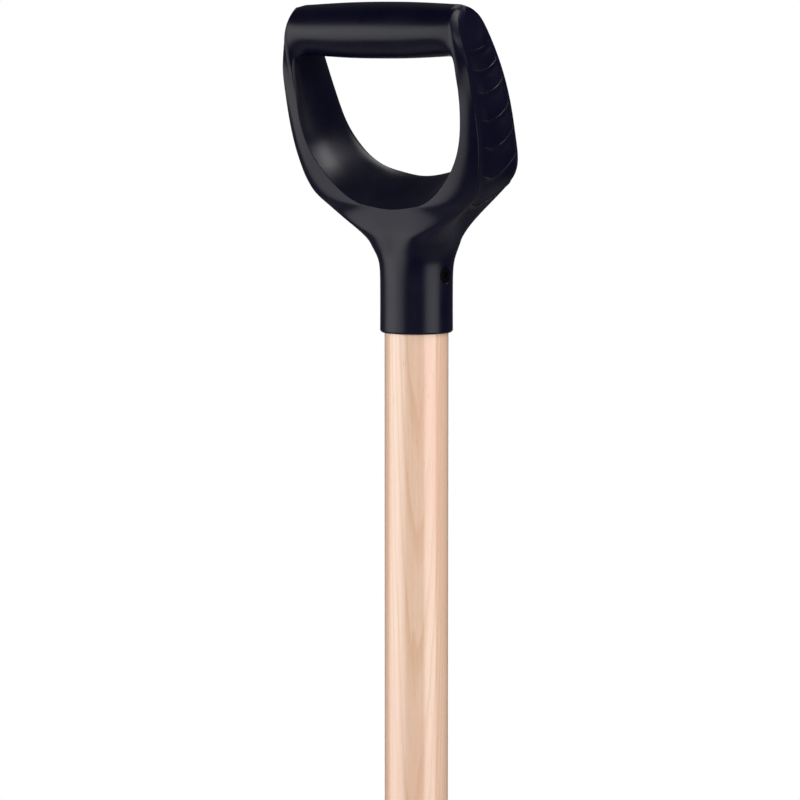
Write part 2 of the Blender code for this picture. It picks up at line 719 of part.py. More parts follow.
def make_socket(mat):
    """A tube: pressed flat onto the blade at its foot, round and tapered above, and bored."""
    tip = BLADE_HEIGHT - TONGUE_LENGTH
    radius = TONGUE_TIP_RADIUS
    thin = TONGUE_THICKNESS / 2
    bm = bmesh.new()
    rings = []
    tongue_levels = [tip + radius * share for share in TONGUE_TIP_SHARES]
    tongue_levels += [(tip + radius + BLADE_HEIGHT) / 2, BLADE_HEIGHT - TONGUE_BEND_MARGIN]
    for z in tongue_levels:
        middle = blade_back_y(0.0, z) + SEAT_GAP + thin
        rings.append(socket_ring(bm, z, tongue_half_width(z), thin, middle, TONGUE_SQUARENESS))
    flat_middle = blade_back_y(0.0, BLADE_HEIGHT) + SEAT_GAP + thin
    neck = SOCKET_NECK_DIAMETER / 2
    bend = BLADE_HEIGHT + TONGUE_BEND_MARGIN
    for step in range(1, SOCKET_NECK_STEPS + 1):
        share = step / SOCKET_NECK_STEPS
        ease = share * share * (3 - 2 * share)
        z = bend + (SOCKET_NECK_Z - bend) * share
        half_width = TONGUE_HALF_WIDTH + (neck - TONGUE_HALF_WIDTH) * ease
        half_depth = thin + (neck - thin) * ease
        middle = flat_middle + (SHAFT_AXIS_Y - flat_middle) * ease
        rounding = ease**NECK_ROUNDING_POWER
        squareness = TONGUE_SQUARENESS + (ROUND_SQUARENESS - TONGUE_SQUARENESS) * rounding
        rings.append(socket_ring(bm, z, half_width, half_depth, middle, squareness))
    for z in (RIVET_LOWER_Z, RIVET_UPPER_Z, SOCKET_TOP_Z):
        radius = socket_radius(z)
        rings.append(socket_ring(bm, z, radius, radius, SHAFT_AXIS_Y, ROUND_SQUARENESS))
    for z in (SOCKET_TOP_Z, SHAFT_FOOT_Z - SEAT_GAP):
        bore = foot_tenon_radius(z) + FIT_GAP
        rings.append(socket_ring(bm, z, bore, bore, SHAFT_AXIS_Y, ROUND_SQUARENESS))
    join_rings(bm, rings)
    socket = add_object("socket", bm, mat, TURNED_SMOOTH_ANGLE)
    cut(socket, rivet_cutter("socket_hole_upper", RIVET_UPPER_Z))
    cut(socket, rivet_cutter("socket_hole_lower", RIVET_LOWER_Z))
    return socket


# Treads


def make_tread(name, side, mat):
    """A strip on the blade's top edge. Its front follows the blade, its top is flat."""
    outer = BLADE_TOP_WIDTH / 2 + TREAD_OVERHANG
    bottom = BLADE_HEIGHT + SEAT_GAP
    stations = [TREAD_INNER + (outer - TREAD_INNER) * step / TREAD_STEPS
                for step in range(TREAD_STEPS + 1)]
    front = [(x, blade_middle_y(x, BLADE_HEIGHT) - BLADE_THICKNESS / 2) for x in stations]
    back_y = front[0][1] + TREAD_WIDTH
    corner = TREAD_CORNER
    turns = [math.radians(degrees) for degrees in TREAD_CORNER_DEGREES]
    outline = list(front)
    outline += [(outer - corner + corner * math.cos(turn), back_y - corner + corner * math.sin(turn))
                for turn in turns]
    outline += [(TREAD_INNER + corner - corner * math.sin(turn),
                 back_y - corner + corner * math.cos(turn)) for turn in turns]
    bm = bmesh.new()
    face = bm.faces.new([bm.verts.new((side * x, y, bottom)) for x, y in outline])
    raised = bmesh.ops.extrude_face_region(bm, geom=[face])["geom"]
    top = [item for item in raised if isinstance(item, bmesh.types.BMVert)]
    bmesh.ops.translate(bm, vec=(0, 0, TREAD_THICKNESS), verts=top)
    return add_object(name, bm, mat)


# Weld beads


def make_bead(name, points, mat):
    """A round bead of weld along a line of points."""
    curve = bpy.data.curves.new(name, "CURVE")
    curve.dimensions = "3D"
    curve.bevel_depth = WELD_RADIUS
    curve.bevel_resolution = 1
    curve.use_fill_caps = True
    spline = curve.splines.new("POLY")
    spline.points.add(len(points) - 1)
    for point, place in zip(spline.points, points):
        point.co = (*place, 1.0)
    curve.materials.append(mat)
    bead = bpy.data.objects.new(name, curve)
    bpy.context.scene.collection.objects.link(bead)
    return bead


def bead_y(x, z):
    """How far back a bead lies when it rests on the blade's back."""
    return blade_back_y(x, z) + SEAT_GAP + WELD_RADIUS


def make_socket_weld(mat):
    """The bead down one side of the socket's tongue, round its tip and up the other."""
    offset = WELD_RADIUS + SEAT_GAP
    tip = BLADE_HEIGHT - TONGUE_LENGTH
    radius = TONGUE_TIP_RADIUS
    heights = [tip + radius, tip + (TONGUE_LENGTH + radius) / 2, BLADE_HEIGHT - SOCKET_WELD_DROP]
    side = [(tongue_half_width(z) + offset, z) for z in reversed(heights)]
    turns = [math.radians(degrees) for degrees in WELD_ARC_DEGREES]
    reach = radius + offset
    right = side + [(reach * math.cos(turn), tip + radius + reach * math.sin(turn))
                    for turn in turns]
    outline = right + [(0.0, tip - offset)] + [(-x, z) for x, z in reversed(right)]
    points = [(x, bead_y(x, z), z) for x, z in outline]
    return make_bead("socket_weld", points, mat)


def make_tread_weld(name, side, mat):
    """The bead in the corner under a tread, behind the blade."""
    z = BLADE_HEIGHT - WELD_RADIUS
    inner = TREAD_INNER + TREAD_WELD_INSET
    outer = BLADE_TOP_WIDTH / 2 - TREAD_WELD_INSET
    stations = [inner + (outer - inner) * step / TREAD_STEPS for step in range(TREAD_STEPS + 1)]
    points = [(side * x, bead_y(x, z), z) for x in stations]
    return make_bead(name, points, mat)


def main():
    clear_scene()
    plastic = material("black_polypropylene", (0.010, 0.010, 0.014), 0.42)
    screw_steel = material("blackened_screw", (0.08, 0.08, 0.085), 0.40, 1.0)
    wood = material("lacquered_ash", (0.76, 0.52, 0.34), 0.34)
    socket_steel = material("socket_enamel", (0.018, 0.018, 0.021), 0.40)
    blade_steel = material("blade_enamel", (0.020, 0.020, 0.023), 0.42)
    tread_steel = material("tread_enamel", (0.019, 0.019, 0.022), 0.42)
    rivet_steel = material("rivet_steel", (0.45, 0.45, 0.44), 0.35, 1.0)
    bead_steel = material("weld_enamel", (0.017, 0.017, 0.020), 0.48)
    make_handle(plastic)
    make_screw(screw_steel)
    make_shaft(wood)
    make_socket(socket_steel)
    make_rivet("rivet_upper", RIVET_UPPER_Z, rivet_steel)
    make_rivet("rivet_lower", RIVET_LOWER_Z, rivet_steel)
    make_blade(blade_steel)
    make_socket_weld(bead_steel)
    for word, side in (("right", 1), ("left", -1)):
        make_tread("tread_" + word, side, tread_steel)
        make_tread_weld("tread_weld_" + word, side, bead_steel)


main()
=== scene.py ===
"""The fine surface of a digging spade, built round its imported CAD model.

Laid out as a Blender add-on: property groups hold the sizes and colours, each operator
makes one piece or one group of like pieces, and a panel in the sidebar lists them.
Metres, +Z up. The concave side of the blade is the front and faces -Y.
"""

import math

import bmesh
import bpy
from bpy.props import FloatProperty, FloatVectorProperty, IntProperty, PointerProperty
from mathutils import Matrix, Vector
from mathutils.bvhtree import BVHTree


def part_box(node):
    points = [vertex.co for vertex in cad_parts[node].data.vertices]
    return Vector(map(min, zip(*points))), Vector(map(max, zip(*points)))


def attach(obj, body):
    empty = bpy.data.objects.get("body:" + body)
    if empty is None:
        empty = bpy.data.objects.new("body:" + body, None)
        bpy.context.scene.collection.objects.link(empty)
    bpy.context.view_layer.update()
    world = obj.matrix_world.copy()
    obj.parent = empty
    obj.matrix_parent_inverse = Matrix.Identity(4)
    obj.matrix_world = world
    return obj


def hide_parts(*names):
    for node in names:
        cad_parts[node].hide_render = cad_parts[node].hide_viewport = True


bl_info = {
    "name": "Digging spade",
    "version": (1, 0, 0),
    "blender": (4, 5, 0),
    "location": "3D View > Sidebar > Spade",
    "description": "Makes the fine surface of a digging spade and its studio",
    "category": "Object",
}

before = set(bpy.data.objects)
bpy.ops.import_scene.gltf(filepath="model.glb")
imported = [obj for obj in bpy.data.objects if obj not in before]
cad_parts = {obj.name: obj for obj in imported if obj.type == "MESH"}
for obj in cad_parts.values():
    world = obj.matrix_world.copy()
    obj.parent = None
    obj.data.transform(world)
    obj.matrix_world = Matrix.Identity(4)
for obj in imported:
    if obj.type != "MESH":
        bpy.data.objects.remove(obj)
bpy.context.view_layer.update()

# The frame's one body, and the sides of what the spade has in pairs
BODY = "root"
SIDES = (("right", 1), ("left", -1))

# Places and sizes that the CAD model settles
SHAFT_LOW, SHAFT_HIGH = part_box("shaft")
BLADE_LOW, BLADE_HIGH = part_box("blade")
SCREW_LOW, SCREW_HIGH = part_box("handle_screw")
FERRULE_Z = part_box("d_handle")[0].z
SOCKET_TOP_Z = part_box("socket")[1].z
TREAD_INNER_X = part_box("tread_right")[0].x
SHAFT_RADIUS = (SHAFT_HIGH.x - SHAFT_LOW.x) / 2
AXIS_Y = (SHAFT_HIGH.y + SHAFT_LOW.y) / 2
BLADE_HEIGHT = BLADE_HIGH.z
BLADE_TOP_WIDTH = BLADE_HIGH.x - BLADE_LOW.x

# Working tolerances, and how far a cutter stands out of what it cuts
MERGE_DISTANCE = 1e-6
SEAT_GAP = 0.0003
CUTTER_REACH = 0.004

# Fineness of the screw, its hole and the rivets, and the angle at which faces form a rim
FASTENER_STEPS = 48
RIM_ANGLE = math.radians(60)
QUARTER_TURN = math.pi / 2


def linear(code):
    """Turn an sRGB hex colour such as E1BC9E into linear red, green and blue."""
    channels = [int(code[start:start + 2], 16) / 255 for start in (0, 2, 4)]
    return tuple(c / 12.92 if c <= 0.04045 else ((c + 0.055) / 1.055) ** 2.4 for c in channels)


def length(name, description, default):
    return FloatProperty(name=name, description=description, default=default, precision=5,
                         subtype="DISTANCE", unit="LENGTH")


def angle(name, description, degrees):
    return FloatProperty(name=name, description=description, default=math.radians(degrees),
                         subtype="ANGLE", unit="ROTATION")


def amount(name, description, default):
    return FloatProperty(name=name, description=description, default=default, precision=4)


def count(name, description, default):
    return IntProperty(name=name, description=description, default=default, min=1)


def watts(name, default):
    return FloatProperty(name=name, description="Power in watts", default=default, unit="POWER")


def colour(name, description, code):
    return FloatVectorProperty(name=name, description=description, default=linear(code),
                               subtype="COLOR", size=3, min=0.0, max=1.0)


class HandleSizes(bpy.types.PropertyGroup):
    """The polypropylene moulding: ferrule, yoke, arms and grip bar."""

    ferrule_diameter: length("Ferrule", "Outside of the ferrule", 0.0409)
    ferrule_length: length("Ferrule length", "Straight part of the ferrule", 0.0339)
    ferrule_edge: length("Ferrule edge", "Radius of the ferrule's lower edge", 0.0017)
    bore_depth: length("Bore depth", "Depth of the hole for the shaft", 0.0615)
    bore_end_diameter: length("Bore end", "Diameter at the top of the hole", 0.0331)
    yoke_half_width: length("Yoke", "Half the width where the yoke meets the arms", 0.0335)
    yoke_height: length("Yoke height", "From the ferrule to the arms", 0.025)
    yoke_flare: amount("Yoke flare", "Power of the yoke's outward curve", 1.82)
    lean: angle("Lean", "How far the D leans forward", 16.0)
    lean_start: length("Lean start", "Where the lean begins above the ferrule's foot", 0.0379)
    lean_end: length("Lean end", "Where the lean is complete", 0.0729)
    bar_level: length("Bar level", "Grip bar's centre along the leaning centre line", 0.1729)
    bar_diameter: length("Bar", "Thickness of the grip bar at its middle", 0.0310)
    bar_crown: length("Bar crown", "How much thinner the bar's radius is at the arms", 0.0019)
    bar_fillet: length("Bar fillet", "Length of the blend from the bar to an arm", 0.0080)
    bar_inner_station: length("Bar station", "Where the bar's crown is set", 0.0260)
    opening_half_width: length("Opening", "Half the width of the D's opening", 0.0563)
    opening_height: length("Opening height", "Lowest point of the opening below the bar", 0.0974)
    d_half_width: length("D half width", "Half the width of the D, ridge to ridge", 0.0646)
    front_depth: length("Front depth", "Arms before the centre line", 0.0184)
    back_depth: length("Back depth", "Arms behind the centre line", 0.0256)
    panel_recess: length("Panel recess", "Side panels below the ridge", 0.0012)
    edge_round: length("Edge round", "Rounding of the opening's front edge", 0.0004)
    dish_diameter: length("End dish", "Round dish in the end of the grip bar", 0.023)
    dish_depth: length("End dish depth", "Depth of that dish", 0.0011)
    dish_tilt: angle("End dish tilt", "Slope of the arm's end at the dish", 13.0)
    dish_x: length("End dish place", "Rim of the dish from the middle", 0.0606)
    dish_set_back: length("End dish set back", "Dish behind the centre line", 0.0015)
    fit_rounds: count("Fit rounds", "Rounds that draw the smooth surface onto its corners", 8)
    fit_level: count("Fit level", "Smoothing while the corners are fitted", 2)
    smooth_level: count("Smooth level", "Smoothing of the finished moulding", 4)


class PanelSizes(bpy.types.PropertyGroup):
    """The overlapping crescents moulded into the outside of each arm."""

    lip_height: length("Lip height", "How far a lip stands out of the panel", 0.00125)
    sweep: length("Lip sweep", "How far a lip rises towards the arm's back edge", 0.0070)
    sweep_width: length("Sweep width", "Distance over which it rises that far", 0.017)
    lowest: length("Lip's lowest place", "Depth at which each lip is lowest", 0.003)
    front: length("Panel front", "Front border before the centre line", 0.0112)
    back_inset: length("Panel back", "Back border in front of the arm's back edge", 0.0016)
    border: length("Border", "Width over which the relief dies out", 0.0026)
    bead_radius: length("Bead radius", "Half the width of the bead along a lip", 0.00036)
    bead_height: length("Bead height", "How far a lip's bead stands out", 0.00024)
    bead_border: length("Bead border", "Over which the beads rise behind the ridge", 0.006)
    front_border: length("Front border", "Over which the lips fade out before the ridge", 0.011)
    step_share: amount("Step share", "Share of a crescent taken by the step under its lip", 0.24)
    shell: length("Shell", "Thickness of the panel's skin inside the moulding", 0.0016)
    columns: count("Columns", "Steps across a panel", 56)


class ShaftSizes(bpy.types.PropertyGroup):
    """The turned wooden shaft."""

    foot_diameter: length("Foot diameter", "Diameter at the foot, inside the socket", 0.029)
    head_diameter: length("Head diameter", "Diameter at the top, inside the ferrule", 0.0325)
    chamfer: length("Chamfer", "Chamfer at both ends", 0.0015)
    steps: count("Steps", "Facets round the shaft", 128)
    rows: count("Rows", "Rows of faces along the bare shaft", 60)


class ScrewSizes(bpy.types.PropertyGroup):
    """The countersunk screw that holds the moulding on the shaft."""

    head_diameter: length("Head", "Diameter of the screw's head", 0.0090)
    shank_diameter: length("Shank", "Diameter of the screw's shank", 0.0042)
    inset: length("Inset", "Head below the ferrule's surface", 0.0004)
    dome: length("Dome", "Height of the raised head", 0.0003)
    cross_length: length("Cross length", "Length of the cross recess", 0.0050)
    cross_width: length("Cross width", "Width of one arm of the cross", 0.0011)
    cross_depth: length("Cross depth", "Depth of the cross recess", 0.0014)


class SocketSizes(bpy.types.PropertyGroup):
    """The steel socket with its flattened tongue, and its rivets."""

    wall: length("Wall", "Wall of the socket", 0.0020)
    fit: length("Fit", "Gap between the shaft and the socket", 0.0003)
    neck_diameter: length("Neck", "Diameter where the socket starts to flatten", 0.033)
    round_length: length("Round length", "Length of the round, tapered part", 0.135)
    tongue_half_width: length("Tongue", "Half the width of the flattened end", 0.0230)
    tongue_length: length("Tongue length", "Length of the flattened end on the blade", 0.075)
    tongue_thickness: length("Tongue thickness", "Both walls pressed together", 0.0044)
    tip_radius: length("Tip radius", "Round tip of the tongue", 0.016)
    squareness: amount("Squareness", "Power of the tongue's flat-sided section", 5.0)
    mouth_round: length("Mouth", "Rounding of the socket's upper rim", 0.0007)
    seam_width: length("Seam", "Width of the closed seam down the back", 0.0012)
    seam_depth: length("Seam depth", "Depth of the closed seam", 0.0005)
    rivet_diameter: length("Rivet", "Shank of a rivet", 0.0050)
    rivet_head_diameter: length("Rivet head", "Diameter of a rivet's head", 0.0100)
    rivet_head_height: length("Rivet head height", "Height of a rivet's head", 0.0026)
    steps: count("Steps", "Facets round the socket", 96)


class BladeSizes(bpy.types.PropertyGroup):
    """The pressed blade, its treads and the weld beads."""

    foot_width: length("Foot width", "Width of the blade at its cutting edge", 0.176)
    thickness: length("Thickness", "Thickness of the plate", 0.0020)
    dish: length("Dish", "How far the sides come forward", 0.010)
    lift: angle("Lift", "Angle between the blade and the shaft", 4.0)
    set_forward: length("Set forward", "Plate's top before the shaft's axis", 0.0037)
    edge_curve: length("Edge curve", "How much higher the edge is at its corners", 0.008)
    bevel_height: length("Bevel", "Height of the ground bevel", 0.012)
    edge_thickness: length("Edge", "Thickness of the cutting edge", 0.0008)
    corner: length("Corner", "Rounding of the plate's edges", 0.00032)
    tread_width: length("Tread width", "Width of a tread from front to back", 0.016)
    tread_corner: length("Tread corner", "Round corner of a tread", 0.006)
    tread_edge: length("Tread edge", "Rounding of a tread's edges", 0.0006)
    weld_radius: length("Weld", "Radius of a weld bead", 0.0018)
    weld_ripple: length("Weld ripple", "Spacing of the ripples along a bead", 0.0017)
    weld_depth: length("Ripple depth", "Depth of the ripples", 0.00022)
    tread_weld_inset: length("Tread weld inset", "Bead's end inside the tread's end", 0.006)


class FinishColours(bpy.types.PropertyGroup):
    """The colours of the finishes, as they look in plain light."""

    plastic: colour("Plastic", "Black polypropylene, a little blue", "040318")
    plastic_bloom: colour("Plastic bloom", "The paler cast of its fine texture", "09081D")
    wood: colour("Wood", "Pale body of the wood", "E5C2A8")
    wood_pink: colour("Wood, pink", "The pink streaks", "E4B79F")
    wood_late: colour("Latewood", "The darker line of each year ring", "DBB392")
    pore: colour("Pores", "Short dark dashes along the grain", "B98A66")
    paint: colour("Paint", "Black powder coat", "1C1C1F")
    paint_low: colour("Paint, thin", "Where the coat is thin", "2A2A2D")
    rivet: colour("Rivet steel", "Bright headed steel", "B9B8B4")
    screw: colour("Screw steel", "Blackened screw steel", "17171B")
    ground: colour("Floor", "Pale studio floor", "E9E9E9")


class StudioSizes(bpy.types.PropertyGroup):
    """Camera, lamps, floor and backdrop."""

    azimuth: angle("Camera azimuth", "Camera's place round the spade", 37.0)
    pitch: angle("Camera pitch", "How far the camera looks down", 6.0)
    distance: length("Camera distance", "From the camera to its target", 2.0)
    frame_width: length("Frame width", "What the picture spans at the target", 0.450)
    target_drop: length("Target drop", "Picture's middle below the ferrule's foot", 0.0384)
    aside: length("Aside", "Picture's middle to the left of the shaft's axis", 0.00928)
    sensor: FloatProperty(name="Sensor", description="Width of the camera's sensor in mm",
                          default=36.0, unit="CAMERA")
    spread: angle("Spread", "How widely each lamp throws its light", 100.0)
    lamp_level: length("Lamp level", "Height above the floor that every lamp points at", 0.90)
    side_distance: length("Side distance", "From a side softbox to the shaft", 1.30)
    side_height: length("Side height", "Height of a side softbox", 1.20)
    left_width: length("Left width", "Width of the left softbox", 2.00)
    left_turn: angle("Left softbox", "Round from the camera", -77.0)
    left_power: watts("Left power", 8.4)
    right_width: length("Right width", "Width of the right softbox", 1.10)
    right_turn: angle("Right softbox", "Round from the camera", 51.0)
    right_power: watts("Right power", 4.55)
    high_distance: length("High distance", "From a high lamp to the shaft", 2.2)
    high_size: length("High size", "Width and height of a high softbox", 1.4)
    front_turn: angle("Front softbox", "Round from the camera", -8.0)
    front_pitch: angle("Front pitch", "Height of the front softbox above the horizon", 25.0)
    front_power: watts("Front power", 4.9)
    back_turn: angle("Back softbox", "Round from the camera", 150.0)
    back_pitch: angle("Back pitch", "Height of the back softbox above the horizon", 52.0)
    back_power: watts("Back power", 4.5)
    accent_turn: angle("Accent", "Round from the camera", 74.0)
    accent_pitch: angle("Accent pitch", "Height of the accent above the horizon", 46.0)
    accent_width: length("Accent width", "Width of the small lamp", 0.36)
    accent_height: length("Accent height", "Height of the small lamp", 0.90)
    accent_power: watts("Accent power", 4.6)
    world_level: amount("World level", "Brightness of the studio's grey", 0.065)
    backdrop_distance: length("Backdrop", "Backdrop behind the spade", 8.0)
    backdrop_size: length("Backdrop size", "Width and height of the backdrop", 3.1)
    backdrop_level: length("Backdrop level", "Middle of the backdrop above the floor", 0.12)
    floor_radius: length("Floor", "Radius of the floor", 2.8)
    floor_fade: length("Floor fade", "Where the floor starts to fade out", 1.0)


class SpadeSettings(bpy.types.PropertyGroup):
    """Everything that a user would change."""

    handle: PointerProperty(type=HandleSizes)
    panels: PointerProperty(type=PanelSizes)
    shaft: PointerProperty(type=ShaftSizes)
    screw: PointerProperty(type=ScrewSizes)
    socket: PointerProperty(type=SocketSizes)
    blade: PointerProperty(type=BladeSizes)
    finish: PointerProperty(type=FinishColours)
    studio: PointerProperty(type=StudioSizes)


# Materials

# Colour sockets of a Mix node, by number because its other sockets share their names
MIX_A, MIX_B, MIX_RESULT = 6, 7, 2


def set_inputs(tree, node, inputs):
    """Set a node's inputs. Each is a value, or another node's output to link."""
    for name, value in inputs.items():
        if isinstance(value, bpy.types.NodeSocket):
            tree.links.new(value, node.inputs[name])
        else:
            node.inputs[name].default_value = value


def add_node(tree, kind, inputs, stops=(), **settings):
    """Add a node with its settings and inputs, and with (place, colour) stops on a ramp."""
    made = tree.nodes.new(kind)
    for name, value in settings.items():
        setattr(made, name, value)
    set_inputs(tree, made, inputs)
    if stops:
        band = made.color_ramp
        while len(band.elements) < len(stops):
            band.elements.new(0.5)
        for element, (place, shade) in zip(band.elements, stops):
            element.position = place
            element.color = (*shade, 1.0)
    return made


def grey(level):
    return (level, level, level, 1.0)


def new_material(name):
    """A material with one Principled shader. Returns it, its tree, shader and coordinates."""
    material = bpy.data.materials.new(name)
    material.use_nodes = True
    tree = material.node_tree
    shader = tree.nodes["Principled BSDF"]
    where = add_node(tree, "ShaderNodeTexCoord", {}).outputs["Object"]
    return material, tree, shader, where


def moulded_polypropylene(finish):
    """Injection-moulded polypropylene: black, satin, with a fine spark-eroded texture.

    The texture gives soft wide highlights with a faint bloom and no clear reflection.
    """
    material, tree, shader, where = new_material("moulded_polypropylene")
    # Clouds of about 20 mm
    cloud = add_node(tree, "ShaderNodeTexNoise",
                     {"Vector": where, "Scale": 45.0, "Detail": 3.0, "Roughness": 0.6})
    # A grain of about 0.4 mm, coarser than the real one so that it shows
    grain = add_node(tree, "ShaderNodeTexNoise",
                     {"Vector": where, "Scale": 2600.0, "Detail": 2.0, "Roughness": 0.5})
    shade = add_node(tree, "ShaderNodeValToRGB", {"Fac": cloud.outputs["Fac"]},
                     stops=((0.35, finish.plastic), (0.70, finish.plastic_bloom)))
    satin = add_node(tree, "ShaderNodeMapRange",
                     {"Value": cloud.outputs["Fac"], "From Min": 0.3, "From Max": 0.7,
                      "To Min": 0.27, "To Max": 0.32})
    bump = add_node(tree, "ShaderNodeBump",
                    {"Height": grain.outputs["Fac"], "Strength": 0.16, "Distance": 0.00006})
    # The fine texture shades itself, so that it gives back less of the light than a polish
    set_inputs(tree, shader,
               {"Base Color": shade.outputs["Color"], "Roughness": satin.outputs["Result"],
                "Normal": bump.outputs["Normal"], "IOR": 1.49, "Specular IOR Level": 0.20})
    return material


def lacquered_wood(finish):
    """Turned ash or beech under a clear satin lacquer: pale, pinkish, straight in the grain.

    Slow year rings show as long arches, with fine fibres and short pores between them.
    """
    material, tree, shader, where = new_material("lacquered_wood")
    # The tree's heart lies behind the shaft and leans, so that its rings run out as arches
    lean = add_node(tree, "ShaderNodeMapping",
                    {"Vector": where, "Location": (-0.001, -0.055, 0.0),
                     "Rotation": (math.radians(-0.1), math.radians(2.1), 0.0)})
    # Lengths along the grain are drawn in by 20, so that the rings change slowly there
    trunk = add_node(tree, "ShaderNodeMapping",
                     {"Vector": lean.outputs["Vector"], "Scale": (1.0, 1.0, 0.05)})
    # Year rings about 1.6 mm apart
    rings = add_node(tree, "ShaderNodeTexWave",
                     {"Vector": trunk.outputs["Vector"], "Scale": 200.0, "Distortion": 5.0,
                      "Detail": 3.0, "Detail Scale": 0.40, "Detail Roughness": 0.55},
                     wave_type="RINGS", rings_direction="Z", wave_profile="SAW")
    year = add_node(tree, "ShaderNodeValToRGB", {"Fac": rings.outputs["Fac"]},
                    stops=((0.0, finish.wood), (0.50, finish.wood), (0.90, finish.wood_late),
                           (1.0, finish.wood)))
    # Fibres about 1 mm wide and some 70 mm long
    along = add_node(tree, "ShaderNodeMapping", {"Vector": where, "Scale": (900.0, 900.0, 14.0)})
    fibres = add_node(tree, "ShaderNodeTexNoise",
                      {"Vector": along.outputs["Vector"], "Scale": 1.0, "Detail": 4.0,
                       "Roughness": 0.6})
    # Streaks of pink about 7 mm wide
    wide = add_node(tree, "ShaderNodeMapping", {"Vector": where, "Scale": (150.0, 150.0, 9.0)})
    streaks = add_node(tree, "ShaderNodeTexNoise",
                       {"Vector": wide.outputs["Vector"], "Scale": 1.0, "Detail": 3.0,
                        "Roughness": 0.55})
    pink = add_node(tree, "ShaderNodeMapRange",
                    {"Value": streaks.outputs["Fac"], "From Min": 0.42, "From Max": 0.66,
                     "To Min": 0.0, "To Max": 0.85})
    body = add_node(tree, "ShaderNodeMix",
                    {"Factor": pink.outputs["Result"], MIX_A: year.outputs["Color"],
                     MIX_B: (*finish.wood_pink, 1.0)},
                    data_type="RGBA", blend_type="MIX")
    fine = add_node(tree, "ShaderNodeMapRange",
                    {"Value": fibres.outputs["Fac"], "From Min": 0.30, "From Max": 0.70,
                     "To Min": 0.95, "To Max": 1.03})
    tone = add_node(tree, "ShaderNodeMix",
                    {"Factor": 1.0, MIX_A: body.outputs[MIX_RESULT],
                     MIX_B: fine.outputs["Result"]},
                    data_type="RGBA", blend_type="MULTIPLY")
    # Pores are 0.3 mm wide and about 6 mm long
    dashes = add_node(tree, "ShaderNodeMapping",
                      {"Vector": where, "Scale": (3200.0, 3200.0, 160.0)})
    pores = add_node(tree, "ShaderNodeTexNoise",
                     {"Vector": dashes.outputs["Vector"], "Scale": 1.0, "Detail": 1.0})
    open_pore = add_node(tree, "ShaderNodeMapRange",
                         {"Value": pores.outputs["Fac"], "From Min": 0.66, "From Max": 0.76,
                          "To Min": 0.0, "To Max": 0.45})
    figure = add_node(tree, "ShaderNodeMix",
                      {"Factor": open_pore.outputs["Result"], MIX_A: tone.outputs[MIX_RESULT],
                       MIX_B: (*finish.pore, 1.0)},
                      data_type="RGBA", blend_type="MIX")
    bump = add_node(tree, "ShaderNodeBump",
                    {"Height": fibres.outputs["Fac"], "Strength": 0.10, "Distance": 0.00008})
    set_inputs(tree, shader,
               {"Base Color": figure.outputs[MIX_RESULT], "Normal": bump.outputs["Normal"],
                "Roughness": 0.48, "Coat Weight": 1.0, "Coat Roughness": 0.10,
                "Coat IOR": 1.5})
    return material


def powder_coat(finish):
    """Black powder coat on steel: satin, with the low ripples of a baked coat."""
    material, tree, shader, where = new_material("black_powder_coat")
    # Ripples about 2 mm across, grit of about 0.5 mm, and thin places of about 45 mm
    ripple = add_node(tree, "ShaderNodeTexNoise",
                      {"Vector": where, "Scale": 480.0, "Detail": 1.5, "Roughness": 0.4})
    grit = add_node(tree, "ShaderNodeTexNoise",
                    {"Vector": where, "Scale": 2000.0, "Detail": 2.0, "Roughness": 0.6})
    cloud = add_node(tree, "ShaderNodeTexNoise",
                     {"Vector": where, "Scale": 22.0, "Detail": 4.0, "Roughness": 0.6})
    shade = add_node(tree, "ShaderNodeValToRGB", {"Fac": cloud.outputs["Fac"]},
                     stops=((0.35, finish.paint), (0.75, finish.paint_low)))
    satin = add_node(tree, "ShaderNodeMapRange",
                     {"Value": grit.outputs["Fac"], "From Min": 0.3, "From Max": 0.7,
                      "To Min": 0.38, "To Max": 0.50})
    low = add_node(tree, "ShaderNodeBump",
                   {"Height": ripple.outputs["Fac"], "Strength": 0.30, "Distance": 0.00012})
    fine = add_node(tree, "ShaderNodeBump",
                    {"Height": grit.outputs["Fac"], "Strength": 0.25, "Distance": 0.00005,
                     "Normal": low.outputs["Normal"]})
    set_inputs(tree, shader,
               {"Base Color": shade.outputs["Color"], "Roughness": satin.outputs["Result"],
                "Normal": fine.outputs["Normal"], "IOR": 1.52})
    return material


def metal(name, shade, roughness, stained=0.62):
    """Bare steel with the fine turning marks and stains of a headed fastener.

    A stain has the share stained of the bare steel's brightness.
    """
    material, tree, shader, where = new_material(name)
    # Marks about 0.3 mm apart, and stains of about 3 mm
    marks = add_node(tree, "ShaderNodeTexNoise",
                     {"Vector": where, "Scale": 3300.0, "Detail": 2.0})
    stain = add_node(tree, "ShaderNodeTexNoise",
                     {"Vector": where, "Scale": 380.0, "Detail": 4.0, "Roughness": 0.65})
    dark = tuple(channel * stained for channel in shade)
    tone = add_node(tree, "ShaderNodeValToRGB", {"Fac": stain.outputs["Fac"]},
                    stops=((0.35, dark), (0.62, shade)))
    rough = add_node(tree, "ShaderNodeMapRange",
                     {"Value": stain.outputs["Fac"], "From Min": 0.3, "From Max": 0.7,
                      "To Min": roughness + 0.08, "To Max": roughness - 0.05})
    bump = add_node(tree, "ShaderNodeBump",
                    {"Height": marks.outputs["Fac"], "Strength": 0.2, "Distance": 0.00004})
    set_inputs(tree, shader,
               {"Base Color": tone.outputs["Color"], "Roughness": rough.outputs["Result"],
                "Normal": bump.outputs["Normal"], "Metallic": 1.0})
    return material


MAKERS = {
    "moulded_polypropylene": moulded_polypropylene,
    "lacquered_wood": lacquered_wood,
    "black_powder_coat": powder_coat,
    "headed_rivet_steel": lambda finish: metal("headed_rivet_steel", finish.rivet, 0.34),
    "blackened_screw_steel": lambda finish: metal("blackened_screw_steel", finish.screw, 0.46),
}


